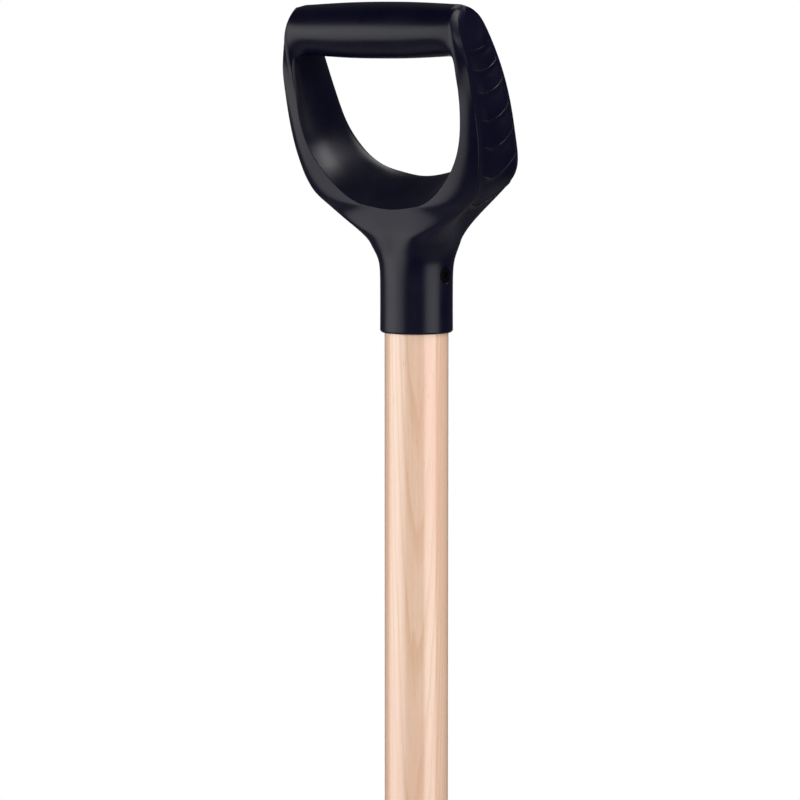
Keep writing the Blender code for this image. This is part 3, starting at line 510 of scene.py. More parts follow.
def finish_named(name):
    """The material of that name, made the first time it is asked for."""
    found = bpy.data.materials.get(name)
    return found or MAKERS[name](bpy.context.scene.spade.finish)


# Shared modelling steps


def placed(name, data):
    """A new object in the scene, with that mesh, lamp or camera."""
    made = bpy.data.objects.new(name, data)
    bpy.context.scene.collection.objects.link(made)
    return made


def new_object(name, bm):
    """Turn a bmesh into an object in the scene."""
    mesh = bpy.data.meshes.new(name)
    bm.to_mesh(mesh)
    bm.free()
    return placed(name, mesh)


def finish_piece(name, bm, material, slot, *nodes, sharp=30.0):
    """Turn a bmesh into a finished piece that rides on the spade and replaces CAD nodes."""
    bmesh.ops.remove_doubles(bm, verts=bm.verts, dist=MERGE_DISTANCE)
    bmesh.ops.recalc_face_normals(bm, faces=bm.faces)
    piece = new_object(name, bm)
    piece.data.shade_smooth()
    piece.data.set_sharp_from_angle(angle=math.radians(sharp))
    piece.data.materials.append(finish_named(material))
    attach(piece, BODY)
    if nodes:
        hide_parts(*nodes)


def helper_object(name, bm):
    """An object that only shapes another one, and is removed again."""
    bmesh.ops.recalc_face_normals(bm, faces=bm.faces)
    helper = new_object(name, bm)
    helper.data.shade_smooth()
    return helper


def evaluated_copy(obj):
    """The object's mesh as its modifiers leave it."""
    graph = bpy.context.evaluated_depsgraph_get()
    graph.update()
    return bpy.data.meshes.new_from_object(obj.evaluated_get(graph))


def evaluated_bmesh(obj):
    """A bmesh of the object as its modifiers leave it."""
    mesh = evaluated_copy(obj)
    bm = bmesh.new()
    bm.from_mesh(mesh)
    bpy.data.meshes.remove(mesh)
    return bm


def cut_by(bm, *cutters):
    """Cut a bmesh by helper objects, which are removed afterwards."""
    base = helper_object("cut_base", bm)
    for cutter in cutters:
        boolean = base.modifiers.new(cutter.name, "BOOLEAN")
        boolean.operation = "DIFFERENCE"
        boolean.solver = "EXACT"
        boolean.object = cutter
    result = evaluated_bmesh(base)
    for used in (base, *cutters):
        bpy.data.objects.remove(used, do_unlink=True)
    return result


def only_verts(geometry):
    return [item for item in geometry if isinstance(item, bmesh.types.BMVert)]


def rim_edges(bm):
    """Edges where two faces meet at a clear corner."""
    return [edge for edge in bm.edges if edge.calc_face_angle(0.0) > RIM_ANGLE]


def round_edges(bm, edges, width, segments=2, clamp=False):
    bmesh.ops.bevel(bm, geom=edges, offset=width, segments=segments, profile=0.5,
                    affect="EDGES", material=-1, clamp_overlap=clamp)


def turned(profile, steps):
    """Spin (radius, height) points round Z. The first and last points lie on the axis."""
    bm = bmesh.new()
    corners = [bm.verts.new((radius, 0.0, height)) for radius, height in profile]
    edges = [bm.edges.new(pair) for pair in zip(corners, corners[1:])]
    bmesh.ops.spin(bm, geom=corners + edges, cent=(0, 0, 0), axis=(0, 0, 1), angle=math.tau,
                   steps=steps, use_merge=True)
    bmesh.ops.remove_doubles(bm, verts=bm.verts, dist=MERGE_DISTANCE)
    return bm


def move(bm, matrix):
    bmesh.ops.transform(bm, matrix=matrix, verts=bm.verts)
    return bm


def spaced(first, last, steps):
    """Evenly spaced values from first to last."""
    return [first + (last - first) * step / steps for step in range(steps + 1)]


def smooth_step(value):
    """A share from 0 to 1, eased at both ends."""
    value = min(max(value, 0.0), 1.0)
    return value * value * (3 - 2 * value)


def lofted(rings):
    """A closed form through rings of equally many points, each extruded from the last."""
    bm = bmesh.new()
    first = bmesh.ops.create_circle(bm, segments=len(rings[0]), radius=1.0)["verts"]
    for vert, place in zip(first, rings[0]):
        vert.co = place
    ring = list(first)
    bmesh.ops.contextual_create(bm, geom=ring)
    for places in rings[1:]:
        ring = extruded(bm, ring, places, closed=True)
    bmesh.ops.contextual_create(bm, geom=ring)
    return bm


def extruded(bm, chain, places, closed=False):
    """Extrude a chain of corners, and put each new corner in its own place."""
    pairs = list(zip(chain, chain[1:]))
    if closed:
        pairs.append((chain[-1], chain[0]))
    edges = [bm.edges.get(pair) for pair in pairs]
    fresh = set(only_verts(bmesh.ops.extrude_edge_only(bm, edges=edges)["geom"]))
    twins = []
    for corner, place in zip(chain, places):
        twin = next(edge.other_vert(corner) for edge in corner.link_edges
                    if edge.other_vert(corner) in fresh)
        twin.co = place
        twins.append(twin)
    return twins


# Handle moulding


# Corners of a section through an arm, and parts of that ring
OUTER_SIDE = ("front_out", "panel_front", "panel_back", "back_out")
OUTER_HALF = ("front_in", "front_crown", *OUTER_SIDE, "back_crown", "back_in")
INNER_HALF = ("back_in", "inner_back", "inner_front", "front_in")
SECTION = (*OUTER_HALF, "inner_back", "inner_front")
TOP_CAP = ("front_crown", "cap_front", "cap_back", "back_crown")
# Corners round the neck, and their places round the ferrule and on the flat-sided yoke
NECK_CHAIN = ("mid_front", "near_front", *OUTER_SIDE, "near_back", "mid_back")
NECK_DEGREES = (-90, -64, -39, -13, 13, 39, 64, 90)
YOKE_DEGREES = (-90, -86, -48, -15, 15, 48, 86, 90)
# Corners of the yoke: half width and depth, which at the back is counted from the ferrule's, and
# how far both pairs lie below the end of the lean
YOKE_FRONT = (("mid_front", 0.0, -0.0201), ("near_front", 0.0220, -0.0198))
YOKE_BACK = (("mid_back", 0.0, 0.0001), ("near_back", 0.0245, -0.0001))
YOKE_FRONT_DROP = 0.0080
YOKE_BACK_DROP = 0.0020
# Rings round the neck: shares of the yoke's height and of the ferrule's length, and how far the
# lowest straight one lies above the ferrule's rounded edge
YOKE_RING_SHARES = (0.94, 0.62, 0.28)
FERRULE_RING_SHARE = 0.80
EDGE_RING_RISE = 0.0025
# How much wider than the ferrule, on each side, the yoke is where it is fully flat-sided
YOKE_BLEND = 0.008
# Corners where the grip bar ends, and how far each lies inside the opening's side
BAR_END = (("front_in", 0.0016), ("inner_front", 0.0032), ("inner_back", 0.0032),
           ("back_in", 0.0032))
# The whole ring of corners that the bar springs from, and their places round the bar
BAR_CHAIN = (("front_in", 0), ("inner_front", 0), ("inner_back", 0), ("back_in", 0),
             ("back_in", 1), ("back_in", 2), ("inner_back", 2), ("inner_front", 2),
             ("front_in", 2), ("front_in", 1))
BAR_DEGREES = (135, 105, 75, 45, 0, -45, -75, -105, -135, 180)
# Corner of the arm's rounded top: angle round the bar, share of the D's half width, and how
# far it lies inside the bar's round
ARM_CAP = (("front_out", 126, 0.882, 0.0024), ("panel_front", 102, 0.882, 0.0024),
           ("panel_back", 74, 0.904, 0.0026), ("back_out", 38, 0.920, 0.0020),
           ("front_crown", 134, 0.862, 0.0003), ("cap_front", 104, 0.862, 0.0004),
           ("cap_back", 75, 0.886, 0.0008), ("back_crown", 42, 0.889, 0.0007))
# Sections of an arm, from the bar down to the opening's lowest point. Across: shares of the D's
# half width. Down: shares of the opening's height. Then depths before the centre line as shares
# of the front depth, behind it as shares of the back depth, and the panel's share of its recess.
# In turn: opening's front edge across and down, its back edge across and down, ridge and back
# across and both down, front edge's depth, front crown's, ridge's, back's, wall's back, recess
ARM_SECTIONS = (
    (0.867, 0.000, 0.861, 0.000, 0.931, 0.916, 0.000, 0.739, 0.720, 0.520, 0.570, 0.492, 0.167),
    (0.870, 0.159, 0.865, 0.159, 0.981, 0.964, 0.149, 0.761, 0.738, 0.663, 0.652, 0.594, 0.667),
    (0.873, 0.318, 0.867, 0.318, 1.000, 0.983, 0.323, 0.810, 0.786, 0.734, 0.754, 0.703, 1.000),
    (0.861, 0.477, 0.847, 0.477, 1.000, 0.981, 0.513, 0.902, 0.877, 0.772, 0.828, 0.766, 1.000),
    (0.805, 0.634, 0.788, 0.621, 0.972, 0.957, 0.700, 0.967, 0.945, 0.799, 0.891, 0.758, 1.000),
    (0.675, 0.785, 0.656, 0.754, 0.901, 0.889, 0.873, 1.000, 0.985, 0.799, 1.016, 0.703, 1.000),
    (0.480, 0.916, 0.455, 0.850, 0.724, 0.734, 1.006, 1.033, 1.033, 0.777, 0.879, 0.656, 0.833),
    (0.266, 0.982, 0.245, 0.895, 0.269, 0.269, 1.012, 1.049, 1.054, 0.000, 0.773, 0.648, 0.000),
    (0.000, 1.000, 0.000, 0.916, 0.000, 0.000, 1.033, 1.054, 1.065, 0.000, 0.758, 0.641, 0.000),
)
# Where the front crown lies between the opening and the ridge, and how far the back one swells
CROWN_SHARE = 0.55
BACK_CROWN_SWELL = 0.0001
# Columns of the sections that tell how far down and how far back the arm's back edge lies
DOWN_COLUMN = 6
BACK_COLUMN = 10
# Places on the opening's wall: share of the way to its back, swelling as a share of the
# opening's width, and depth
WALL_SWELL = (("inner_front", 0.35, 0.036, -0.0080), ("inner_back", 0.85, 0.044, 0.0060))
PANEL_DEPTHS = (("panel_front", -0.0080), ("panel_back", 0.0065))
# How crisp the ridge is from each section to the next, and the opening's front edge at its start
RIDGE_CREASES = (0.0, 0.35, 0.5, 0.5, 0.5, 0.45, 0.35)
EDGE_START_CREASE = 0.8
# Sections 0 and 1 have only the outer half, because the grip bar joins the arm there. Whole rings
# run from the first station to the arm's last one, and inner halves from there to the opening's
# lowest point
FIRST_STATION = 2
LAST_STATION = len(ARM_SECTIONS)
LAST_ARM_STATION = LAST_STATION - 2
# Fineness of the round dish in the bar's ends
DISH_RINGS = 10
DISH_STEPS = 96


class HandleForm:
    """The moulding's right half as named corners, in the handle's own bent coordinates."""

    def __init__(self, sizes):
        self.sizes = sizes
        self.places = {}
        self.place_cap()
        for number, row in enumerate(ARM_SECTIONS, 1):
            self.place_section(number, *row)
        self.rings = self.place_neck()
        self.bar_stations = self.place_bar()

    def point(self, x, along, depth):
        """A point along the leaning centre line, and behind that line."""
        s = self.sizes
        turn_radius = (s.lean_end - s.lean_start) / s.lean
        turn = min(max(along - s.lean_start, 0.0) / turn_radius, s.lean)
        beyond = max(along - s.lean_end, 0.0)
        forward = turn_radius * (1 - math.cos(turn)) + beyond * math.sin(s.lean)
        height = min(along, s.lean_start) + turn_radius * math.sin(turn)
        height += beyond * math.cos(s.lean)
        return Vector((x, AXIS_Y - forward + depth * math.cos(turn),
                       FERRULE_Z + height + depth * math.sin(turn)))

    def straight_point(self, x, along, depth):
        """A point beside the shaft's axis, which doesn't lean."""
        return Vector((x, AXIS_Y + depth, FERRULE_Z + along))

    def put(self, name, x, along, depth):
        self.places[name] = self.point(x, along, depth)

    def put_share(self, part, number, across, down, depth):
        s = self.sizes
        along = s.bar_level - down * s.opening_height
        self.put((part, number), across * s.d_half_width, along, depth)

    def bar_radius(self, x):
        s = self.sizes
        return s.bar_diameter / 2 - s.bar_crown * (x / s.opening_half_width) ** 2

    def round_bar(self, x, degrees, shrink=0.0):
        """Along and depth of a point on the bar's round."""
        turn = math.radians(degrees)
        radius = self.bar_radius(x) - shrink
        return self.sizes.bar_level + radius * math.sin(turn), radius * math.cos(turn)

    def place_cap(self):
        """Corners of the arm's rounded top, round the end of the grip bar."""
        s = self.sizes
        for (part, inset), degrees in zip(BAR_END, BAR_DEGREES):
            x = s.opening_half_width - inset
            self.put((part, 0), x, *self.round_bar(x, degrees))
        for part, degrees, across, shrink in ARM_CAP:
            along, depth = self.round_bar(s.opening_half_width, degrees, shrink)
            self.put((part, 0), across * s.d_half_width, along, depth)

    def place_section(self, number, in_x, in_drop, wall_x, wall_drop, out_x, back_x, out_drop,
                      front, crown, ridge, back, wall_back, recess):
        s = self.sizes
        self.put_share("front_in", number, in_x, in_drop, -front * s.front_depth)
        for part, share, swell, depth in WALL_SWELL:
            across = in_x + (wall_x - in_x) * share - swell * in_x
            self.put_share(part, number, across, in_drop + (wall_drop - in_drop) * share, depth)
        self.put_share("back_in", number, wall_x, wall_drop, wall_back * s.back_depth)
        across = in_x + (out_x - in_x) * CROWN_SHARE
        down = in_drop + (out_drop - in_drop) * CROWN_SHARE
        self.put_share("front_crown", number, across, down, -crown * s.front_depth)
        across, down = (wall_x + back_x) / 2, (wall_drop + out_drop) / 2
        depth = back * s.back_depth + BACK_CROWN_SWELL
        self.put_share("back_crown", number, across, down, depth)
        if number > LAST_ARM_STATION:
            return
        self.put_share("front_out", number, out_x, out_drop, -ridge * s.front_depth)
        for part, depth in PANEL_DEPTHS:
            across = out_x - recess * s.panel_recess / s.d_half_width
            self.put_share(part, number, across, out_drop, depth)
        self.put_share("back_out", number, back_x, out_drop, back * s.back_depth)

    def place_neck(self):
        """Corners of the yoke, and rings down to the ferrule's foot and up the bore."""
        s = self.sizes
        ferrule = s.ferrule_diameter / 2
        for part, x, depth in YOKE_FRONT:
            self.put(part, x, s.lean_end - YOKE_FRONT_DROP, depth)
        for part, x, swell in YOKE_BACK:
            self.put(part, x, s.lean_end - YOKE_BACK_DROP, ferrule + swell)
        edge = s.ferrule_edge
        levels = [s.ferrule_length + s.yoke_height * share for share in YOKE_RING_SHARES]
        levels += [s.ferrule_length * FERRULE_RING_SHARE, edge + EDGE_RING_RISE, edge]
        rings = [(along, self.neck_half_width(along), ferrule) for along in levels]
        # The middle and foot of the rounded edge, then the bore's mouth and end
        bend = edge * (1 - math.sqrt(0.5))
        mouth = SHAFT_RADIUS + SEAT_GAP
        end = s.bore_end_diameter / 2
        rings += [(bend, ferrule - bend, ferrule - bend), (0.0, ferrule - edge, ferrule - edge),
                  (0.0, mouth, mouth), (s.bore_depth, end, end)]
        for number, (along, half_width, radius) in enumerate(rings, 1):
            flat = half_width - radius
            share = min(flat / YOKE_BLEND, 1.0)
            place = self.point if number < len(rings) else self.straight_point
            for part, round_turn, flat_turn in zip(NECK_CHAIN, NECK_DEGREES, YOKE_DEGREES):
                turn = math.radians(round_turn + (flat_turn - round_turn) * share)
                x = flat + radius * math.cos(turn) if abs(round_turn) < 90 else 0.0
                self.places[part, "ring", number] = place(x, along, radius * math.sin(turn))
        return len(rings)

    def neck_half_width(self, along):
        s = self.sizes
        rise = max(along - s.ferrule_length, 0.0) / s.yoke_height
        ferrule = s.ferrule_diameter / 2
        return ferrule + (s.yoke_half_width - ferrule) * rise**s.yoke_flare

    def place_bar(self):
        s = self.sizes
        stations = (s.opening_half_width - s.bar_fillet, s.bar_inner_station, 0.0)
        for number, x in enumerate(stations, 1):
            for corner, degrees in zip(BAR_CHAIN, BAR_DEGREES):
                self.put((corner, "bar", number), x, *self.round_bar(x, degrees))
        return len(stations)

    def skin(self):
        """Extrude the right half from corner to corner, crease it and mirror it."""
        bm = bmesh.new()
        crease = bm.edges.layers.float.new("crease_edge")
        corners = {}

        def extend(old, new, closed=False):
            chain = [corners[name] for name in old]
            places = [self.places[name] for name in new]
            for name, vert in zip(new, extruded(bm, chain, places, closed)):
                corners.setdefault(name, vert)

        def weld():
            bmesh.ops.remove_doubles(bm, verts=bm.verts, dist=MERGE_DISTANCE)
            corners.clear()
            corners.update(self.found(bm))

        def section(number, parts=SECTION):
            return [(part, number) for part in parts]

        ring = [bm.verts.new(self.places[name]) for name in section(FIRST_STATION)]
        for first, second in zip(ring, ring[1:] + ring[:1]):
            bm.edges.new((first, second))
        corners.update(zip(section(FIRST_STATION), ring))
        for number in range(FIRST_STATION, LAST_ARM_STATION):
            extend(section(number), section(number + 1), closed=True)
        for number in range(LAST_ARM_STATION, LAST_STATION):
            extend(section(number, INNER_HALF), section(number + 1, INNER_HALF))
        last = LAST_ARM_STATION
        for side in ("front", "back"):
            top = [(side + "_in", number) for number in range(last, LAST_STATION + 1)]
            crown = [(side + "_crown", number) for number in range(last, LAST_STATION + 1)]
            extend(top, crown)
            weld()
            extend(crown, [(side + "_out", last), "near_" + side, "mid_" + side])
            weld()
        chain = ["mid_front", "near_front", *section(last, OUTER_SIDE), "near_back", "mid_back"]
        for number in range(1, self.rings + 1):
            after = [(part, "ring", number) for part in NECK_CHAIN]
            extend(chain, after)
            chain = after
        for number in range(FIRST_STATION, 0, -1):
            extend(section(number, OUTER_HALF), section(number - 1, OUTER_HALF))
        extend(section(0, OUTER_SIDE), section(0, TOP_CAP))
        weld()
        extend(section(0, TOP_CAP), section(0, [part for part, _ in BAR_END]))
        weld()
        chain = list(BAR_CHAIN)
        for number in range(1, self.bar_stations + 1):
            after = [(corner, "bar", number) for corner in BAR_CHAIN]
            extend(chain, after, closed=True)
            chain = after
        for first, second, sharpness in self.creases():
            bm.edges.get((corners[first], corners[second]))[crease] = sharpness
        for number in range(FIRST_STATION, LAST_STATION):
            edge = bm.edges.get((corners["front_in", number], corners["front_in", number + 1]))
            edge.seam = True
        bmesh.ops.mirror(bm, geom=bm.verts[:] + bm.edges[:] + bm.faces[:], axis="X",
                         merge_dist=MERGE_DISTANCE)
        bore_end = [edge for edge in bm.edges if edge.is_boundary]
        bmesh.ops.edgeloop_fill(bm, edges=bore_end)
        bmesh.ops.recalc_face_normals(bm, faces=bm.faces)
        return bm

    def found(self, bm):
        """Look the named corners up again by place, after corners were merged."""
        def rounded(place):
            return tuple(round(value, 6) for value in place)

        verts = {rounded(vert.co): vert for vert in bm.verts}
        return {name: verts[rounded(place)] for name, place in self.places.items()
                if rounded(place) in verts}

    def creases(self):
        """Crisp edges: the opening's front edge, the outer ridge and the ferrule's bore."""
        for number in range(FIRST_STATION, LAST_STATION):
            sharpness = 1.0 if number > FIRST_STATION else EDGE_START_CREASE
            yield ("front_in", number), ("front_in", number + 1), sharpness
        for number, sharpness in enumerate(RIDGE_CREASES):
            yield ("front_out", number), ("front_out", number + 1), sharpness
        for number in (self.rings - 1, self.rings):
            mouth = [(part, "ring", number) for part in NECK_CHAIN]
            for first, second in zip(mouth, mouth[1:]):
                yield first, second, 1.0


def settled(bm, sizes):
    """Smooth a cage so that the surface runs through its corners. Returns a fine bmesh."""
    cage = helper_object("handle_cage", bm)
    targets = [vertex.co.copy() for vertex in cage.data.vertices]
    smooth = cage.modifiers.new("smooth", "SUBSURF")
    smooth.levels = smooth.render_levels = sizes.fit_level
    for _ in range(sizes.fit_rounds):
        surface = evaluated_copy(cage)
        for vertex, reached, target in zip(cage.data.vertices, surface.vertices, targets):
            vertex.co += target - reached.co
        bpy.data.meshes.remove(surface)
        cage.data.update()
    smooth.levels = smooth.render_levels = sizes.smooth_level
    result = evaluated_bmesh(cage)
    bpy.data.objects.remove(cage, do_unlink=True)
    return result


def end_dish(form, side):
    """A shallow ball that presses a round dish into the sloping end of an arm."""
    s = form.sizes
    half = s.dish_diameter / 2
    radius = (half**2 + s.dish_depth**2) / (2 * s.dish_depth)
    rim = math.asin(half / radius)
    profile = [(radius * math.sin(turn), radius * (1 - math.cos(turn)) - s.dish_depth)
               for turn in spaced(0.0, rim, DISH_RINGS)]
    # Beyond the dish's rim the cutter goes straight on at the ball's slope, clear of the arm
    wide = half + CUTTER_REACH * math.cos(rim)
    profile += [(wide, CUTTER_REACH * math.sin(rim)), (wide, CUTTER_REACH), (0.0, CUTTER_REACH)]
    turn = Matrix.Rotation(side * (QUARTER_TURN - s.dish_tilt), 4, "Y")
    place = Matrix.Translation(form.point(side * s.dish_x, s.bar_level, s.dish_set_back))
    return helper_object("end_dish", move(turned(profile, DISH_STEPS), place @ turn))


# Points of the screw's low dome, as shares of the head's radius and of the dome's height
SCREW_DOME = ((0.0, 1.0), (0.5, 0.8), (0.9, 0.2), (1.0, 0.0))
# Height of the head's straight rim
SCREW_RIM = 0.0003
# How much wider the hole's mouth is than the head, and at what height above the ferrule
HOLE_FLARE = 0.0004
HOLE_FLARE_RISE = 0.0003
# Turn of the cross recess, and the rounding of its edges
CROSS_DEGREES = 28
CROSS_ROUND = 0.0003


def screw_profile(sizes, grow):
    """Radii of the screw's head and shank, and the height of its cone."""
    head = sizes.head_diameter / 2 + grow
    shank = sizes.shank_diameter / 2 + grow
    return head, shank, head - shank


def screw_place():
    """The screw's axis runs through the shaft's, square to the ferrule's right side."""
    middle = (SCREW_LOW + SCREW_HIGH) / 2
    surface = bpy.context.scene.spade.handle.ferrule_diameter / 2
    turn = Matrix.Rotation(QUARTER_TURN, 4, "Y")
    return Matrix.Translation((surface, AXIS_Y, middle.z)) @ turn


def screw_hole():
    sizes = bpy.context.scene.spade.screw
    head, shank, cone = screw_profile(sizes, SEAT_GAP)
    rim = -sizes.inset
    deep = SCREW_LOW.x - SCREW_HIGH.x
    wide = head + HOLE_FLARE
    profile = [(0.0, CUTTER_REACH), (wide, CUTTER_REACH), (wide, HOLE_FLARE_RISE), (head, rim),
               (shank, rim - cone), (shank, deep), (0.0, deep)]
    return helper_object("screw_hole", move(turned(profile, FASTENER_STEPS), screw_place()))


class SPADE_OT_handle(bpy.types.Operator):
    """Make the D-handle moulding with its end dishes and screw hole"""

    bl_idname = "spade.handle"
    bl_label = "Handle moulding"

    def execute(self, context):
        form = HandleForm(context.scene.spade.handle)
        fine = settled(form.skin(), form.sizes)
        dishes = [end_dish(form, side) for _, side in SIDES]
        front_edges = [edge for edge in fine.edges if edge.seam]
        round_edges(fine, front_edges, form.sizes.edge_round, clamp=True)
        shaped = cut_by(fine, *dishes, screw_hole())
        finish_piece("handle_moulding", shaped, "moulded_polypropylene", "handle_plastic",
                     "d_handle", sharp=35.0)
        return {"FINISHED"}


# How far below the grip bar's centre each lip of the side panel lies at its lowest, how far it
# stands out as a share of the full height, and how far below the last one the relief dies out
LIP_DROPS = (0.0112, 0.0228, 0.0353, 0.0508, 0.0663, 0.0828, 0.0993)
LIP_STRENGTHS = (0.45, 0.85, 1.0, 1.0, 1.0, 1.0, 0.9)
LAST_LIP = len(LIP_DROPS) - 1
LAST_FADE = 0.006
# Rows from one lip to the next, crowded at its bead, and the rows below the last lip
ROW_SHARES = (0.0, 0.007, 0.014, 0.022, 0.035, 0.07, 0.11, 0.16, 0.21, 0.27, 0.34, 0.43, 0.53,
              0.64, 0.75, 0.85, 0.92, 0.96, 0.972, 0.98, 0.987, 0.994)
END_SHARES = (0.0, 0.1, 0.25, 0.5, 0.75, 1.0)
# How steeply a crescent climbs
CLIMB_POWER = 2.3
# How far the panel stands out of the moulding before its relief, and how far its borders sink
PANEL_LIFT = 0.00005
PANEL_SINK = 0.0003
# Where the rays start that find the moulding's side, well outside it
RAY_START = 0.1


def crescent_height(share, step_share):
    """A lip, the hollow step under it, and the ramp that climbs to the next lip."""
    if share < step_share:
        return (1 - share / step_share) ** 2
    return 1 - (1 - (share - step_share) / (1 - step_share)) ** CLIMB_POWER


def relief(lip, share, spacing, behind_front, before_back, sizes):
    """How far the panel stands out at a share of the way from one lip to the next.

    The two distances are those from the panel's front and back borders.
    """
    fade = smooth_step(min(behind_front / sizes.front_border, before_back / sizes.border))
    if lip < LAST_LIP:
        strength = LIP_STRENGTHS[lip if share < sizes.step_share else lip + 1]
        height = strength * crescent_height(share, sizes.step_share)
        beside = min(share, 1 - share) * spacing / sizes.bead_radius
    else:
        height = LIP_STRENGTHS[lip] * (1 - smooth_step(share))
        fade *= 1 - smooth_step(share)
        beside = share * spacing / sizes.bead_radius
    lift = sizes.lip_height * height * fade - PANEL_SINK * (1 - fade) + PANEL_LIFT
    if beside < 1:
        bead_fade = smooth_step(behind_front / sizes.bead_border)
        lift += sizes.bead_height * math.sqrt(1 - beside * beside) * bead_fade
    return lift


def back_edge(form, along):
    """How far back the arm's side reaches at a place along it."""
    s = form.sizes
    drop = s.bar_level - along
    known = [(row[DOWN_COLUMN] * s.opening_height, row[BACK_COLUMN] * s.back_depth)
             for row in ARM_SECTIONS[:LAST_ARM_STATION]]
    for (drop_a, depth_a), (drop_b, depth_b) in zip(known, known[1:]):
        if drop <= drop_b:
            share = max(drop - drop_a, 0.0) / (drop_b - drop_a)
            return depth_a + (depth_b - depth_a) * share
    return known[-1][1]


def side_panel(form, sizes, tree, side):
    """The relief of one arm's outside: a grid whose rows follow the crescents' lips."""
    rows = [(lip, share) for lip in range(LAST_LIP) for share in ROW_SHARES]
    rows += [(LAST_LIP, share) for share in END_SHARES]
    bm = bmesh.new()
    grid = bmesh.ops.create_grid(bm, x_segments=sizes.columns, y_segments=len(rows) - 1, size=1.0)
    for vert in grid["verts"]:
        lip, share = rows[round((vert.co.y + 1) / 2 * (len(rows) - 1))]
        drop = LIP_DROPS[lip]
        spacing = LIP_DROPS[lip + 1] - drop if lip < LAST_LIP else LAST_FADE
        level = form.sizes.bar_level - (drop + spacing * share)
        back = back_edge(form, level + sizes.sweep) - sizes.back_inset
        depth = -sizes.front + (back + sizes.front) * (vert.co.x + 1) / 2
        along = level + sizes.sweep * ((depth - sizes.lowest) / sizes.sweep_width) ** 2
        lift = relief(lip, share, spacing, depth + sizes.front, back - depth, sizes)
        start = form.point(side * RAY_START, along, depth)
        hit, normal, _, _ = tree.ray_cast(start, Vector((-side, 0, 0)))
        if hit is None:
            raise RuntimeError("A side panel's ray misses the moulding")
        vert.co = hit + normal * lift
    return bm


class SPADE_OT_side_panels(bpy.types.Operator):
    """Make the crescents in the outside of both arms"""

    bl_idname = "spade.side_panels"
    bl_label = "Side panels"

    def execute(self, context):
        settings = context.scene.spade
        form = HandleForm(settings.handle)
        moulding = bpy.data.objects["handle_moulding"]
        tree = BVHTree.FromObject(moulding, context.evaluated_depsgraph_get())
        for word, side in SIDES:
            bm = side_panel(form, settings.panels, tree, side)
            bmesh.ops.recalc_face_normals(bm, faces=bm.faces)
            if sum(face.normal.x for face in bm.faces) * side < 0:
                bmesh.ops.reverse_faces(bm, faces=bm.faces)
            bmesh.ops.solidify(bm, geom=bm.faces[:], thickness=settings.panels.shell)
            finish_piece("side_panel_" + word, bm, "moulded_polypropylene", "handle_plastic",
                         sharp=50.0)
        return {"FINISHED"}


class SPADE_OT_screw(bpy.types.Operator):
    """Make the screw in the ferrule's side"""

    bl_idname = "spade.screw"
    bl_label = "Fixing screw"

    def execute(self, context):
        sizes = context.scene.spade.screw
        head, shank, cone = screw_profile(sizes, 0.0)
        rim = -sizes.inset
        deep = SCREW_LOW.x - SCREW_HIGH.x
        point = sizes.shank_diameter
        profile = [(head * across, rim + sizes.dome * rise) for across, rise in SCREW_DOME]
        profile += [(head, rim - SCREW_RIM), (shank, rim - cone), (shank, deep + point),
                    (0.0, deep)]
        arms = [self.cross_arm(sizes, CROSS_DEGREES + turn) for turn in (0, 90)]
        shaped = cut_by(turned(profile, FASTENER_STEPS), *arms)
        finish_piece("screw_head", move(shaped, screw_place()), "blackened_screw_steel",
                     "screw_steel", "handle_screw", sharp=40.0)
        return {"FINISHED"}

    def cross_arm(self, sizes, degrees):
        """A rounded bar that cuts one arm of the cross recess."""
        bm = bmesh.new()
        made = bmesh.ops.create_cube(bm, size=1.0)["verts"]
        size = (sizes.cross_length, sizes.cross_width, 2 * sizes.cross_depth)
        bmesh.ops.scale(bm, vec=size, verts=made)
        round_edges(bm, bm.edges[:], CROSS_ROUND)
        return helper_object("cross_arm", move(bm, Matrix.Rotation(math.radians(degrees), 4, "Z")))


class SPADE_OT_shaft(bpy.types.Operator):
    """Make the turned wooden shaft"""

    bl_idname = "spade.shaft"
    bl_label = "Wooden shaft"

    def execute(self, context):
        sizes = context.scene.spade.shaft
        foot, head, chamfer = sizes.foot_diameter / 2, sizes.head_diameter / 2, sizes.chamfer
        low, high = SHAFT_LOW.z, SHAFT_HIGH.z
        profile = [(0.0, low), (foot - chamfer, low), (foot, low + chamfer)]
        profile += [(SHAFT_RADIUS, z) for z in spaced(SOCKET_TOP_Z, FERRULE_Z, sizes.rows)]
        profile += [(head, high - chamfer), (head - chamfer, high), (0.0, high)]
        bm = move(turned(profile, sizes.steps), Matrix.Translation((0, AXIS_Y, 0)))
        finish_piece("wooden_shaft", bm, "lacquered_wood", "shaft_wood", "shaft")
        return {"FINISHED"}


# Blade's plate, which the socket, treads and welds lie on

# Fineness of the plate's grid, whose rows crowd towards the cutting edge by a power
BLADE_COLUMNS = 72
BLADE_ROWS = 96
ROW_CROWDING = 1.35


def blade_half_width(z):
    sizes = bpy.context.scene.spade.blade
    share = z / BLADE_HEIGHT
    return (sizes.foot_width + (BLADE_TOP_WIDTH - sizes.foot_width) * share) / 2


def blade_middle_y(x, z):
    sizes = bpy.context.scene.spade.blade
    y = AXIS_Y - sizes.set_forward - (BLADE_HEIGHT - z) * math.tan(sizes.lift)
    return y - sizes.dish * (x / blade_half_width(z)) ** 2


def blade_back_y(x, z):
    return blade_middle_y(x, z) + bpy.context.scene.spade.blade.thickness / 2


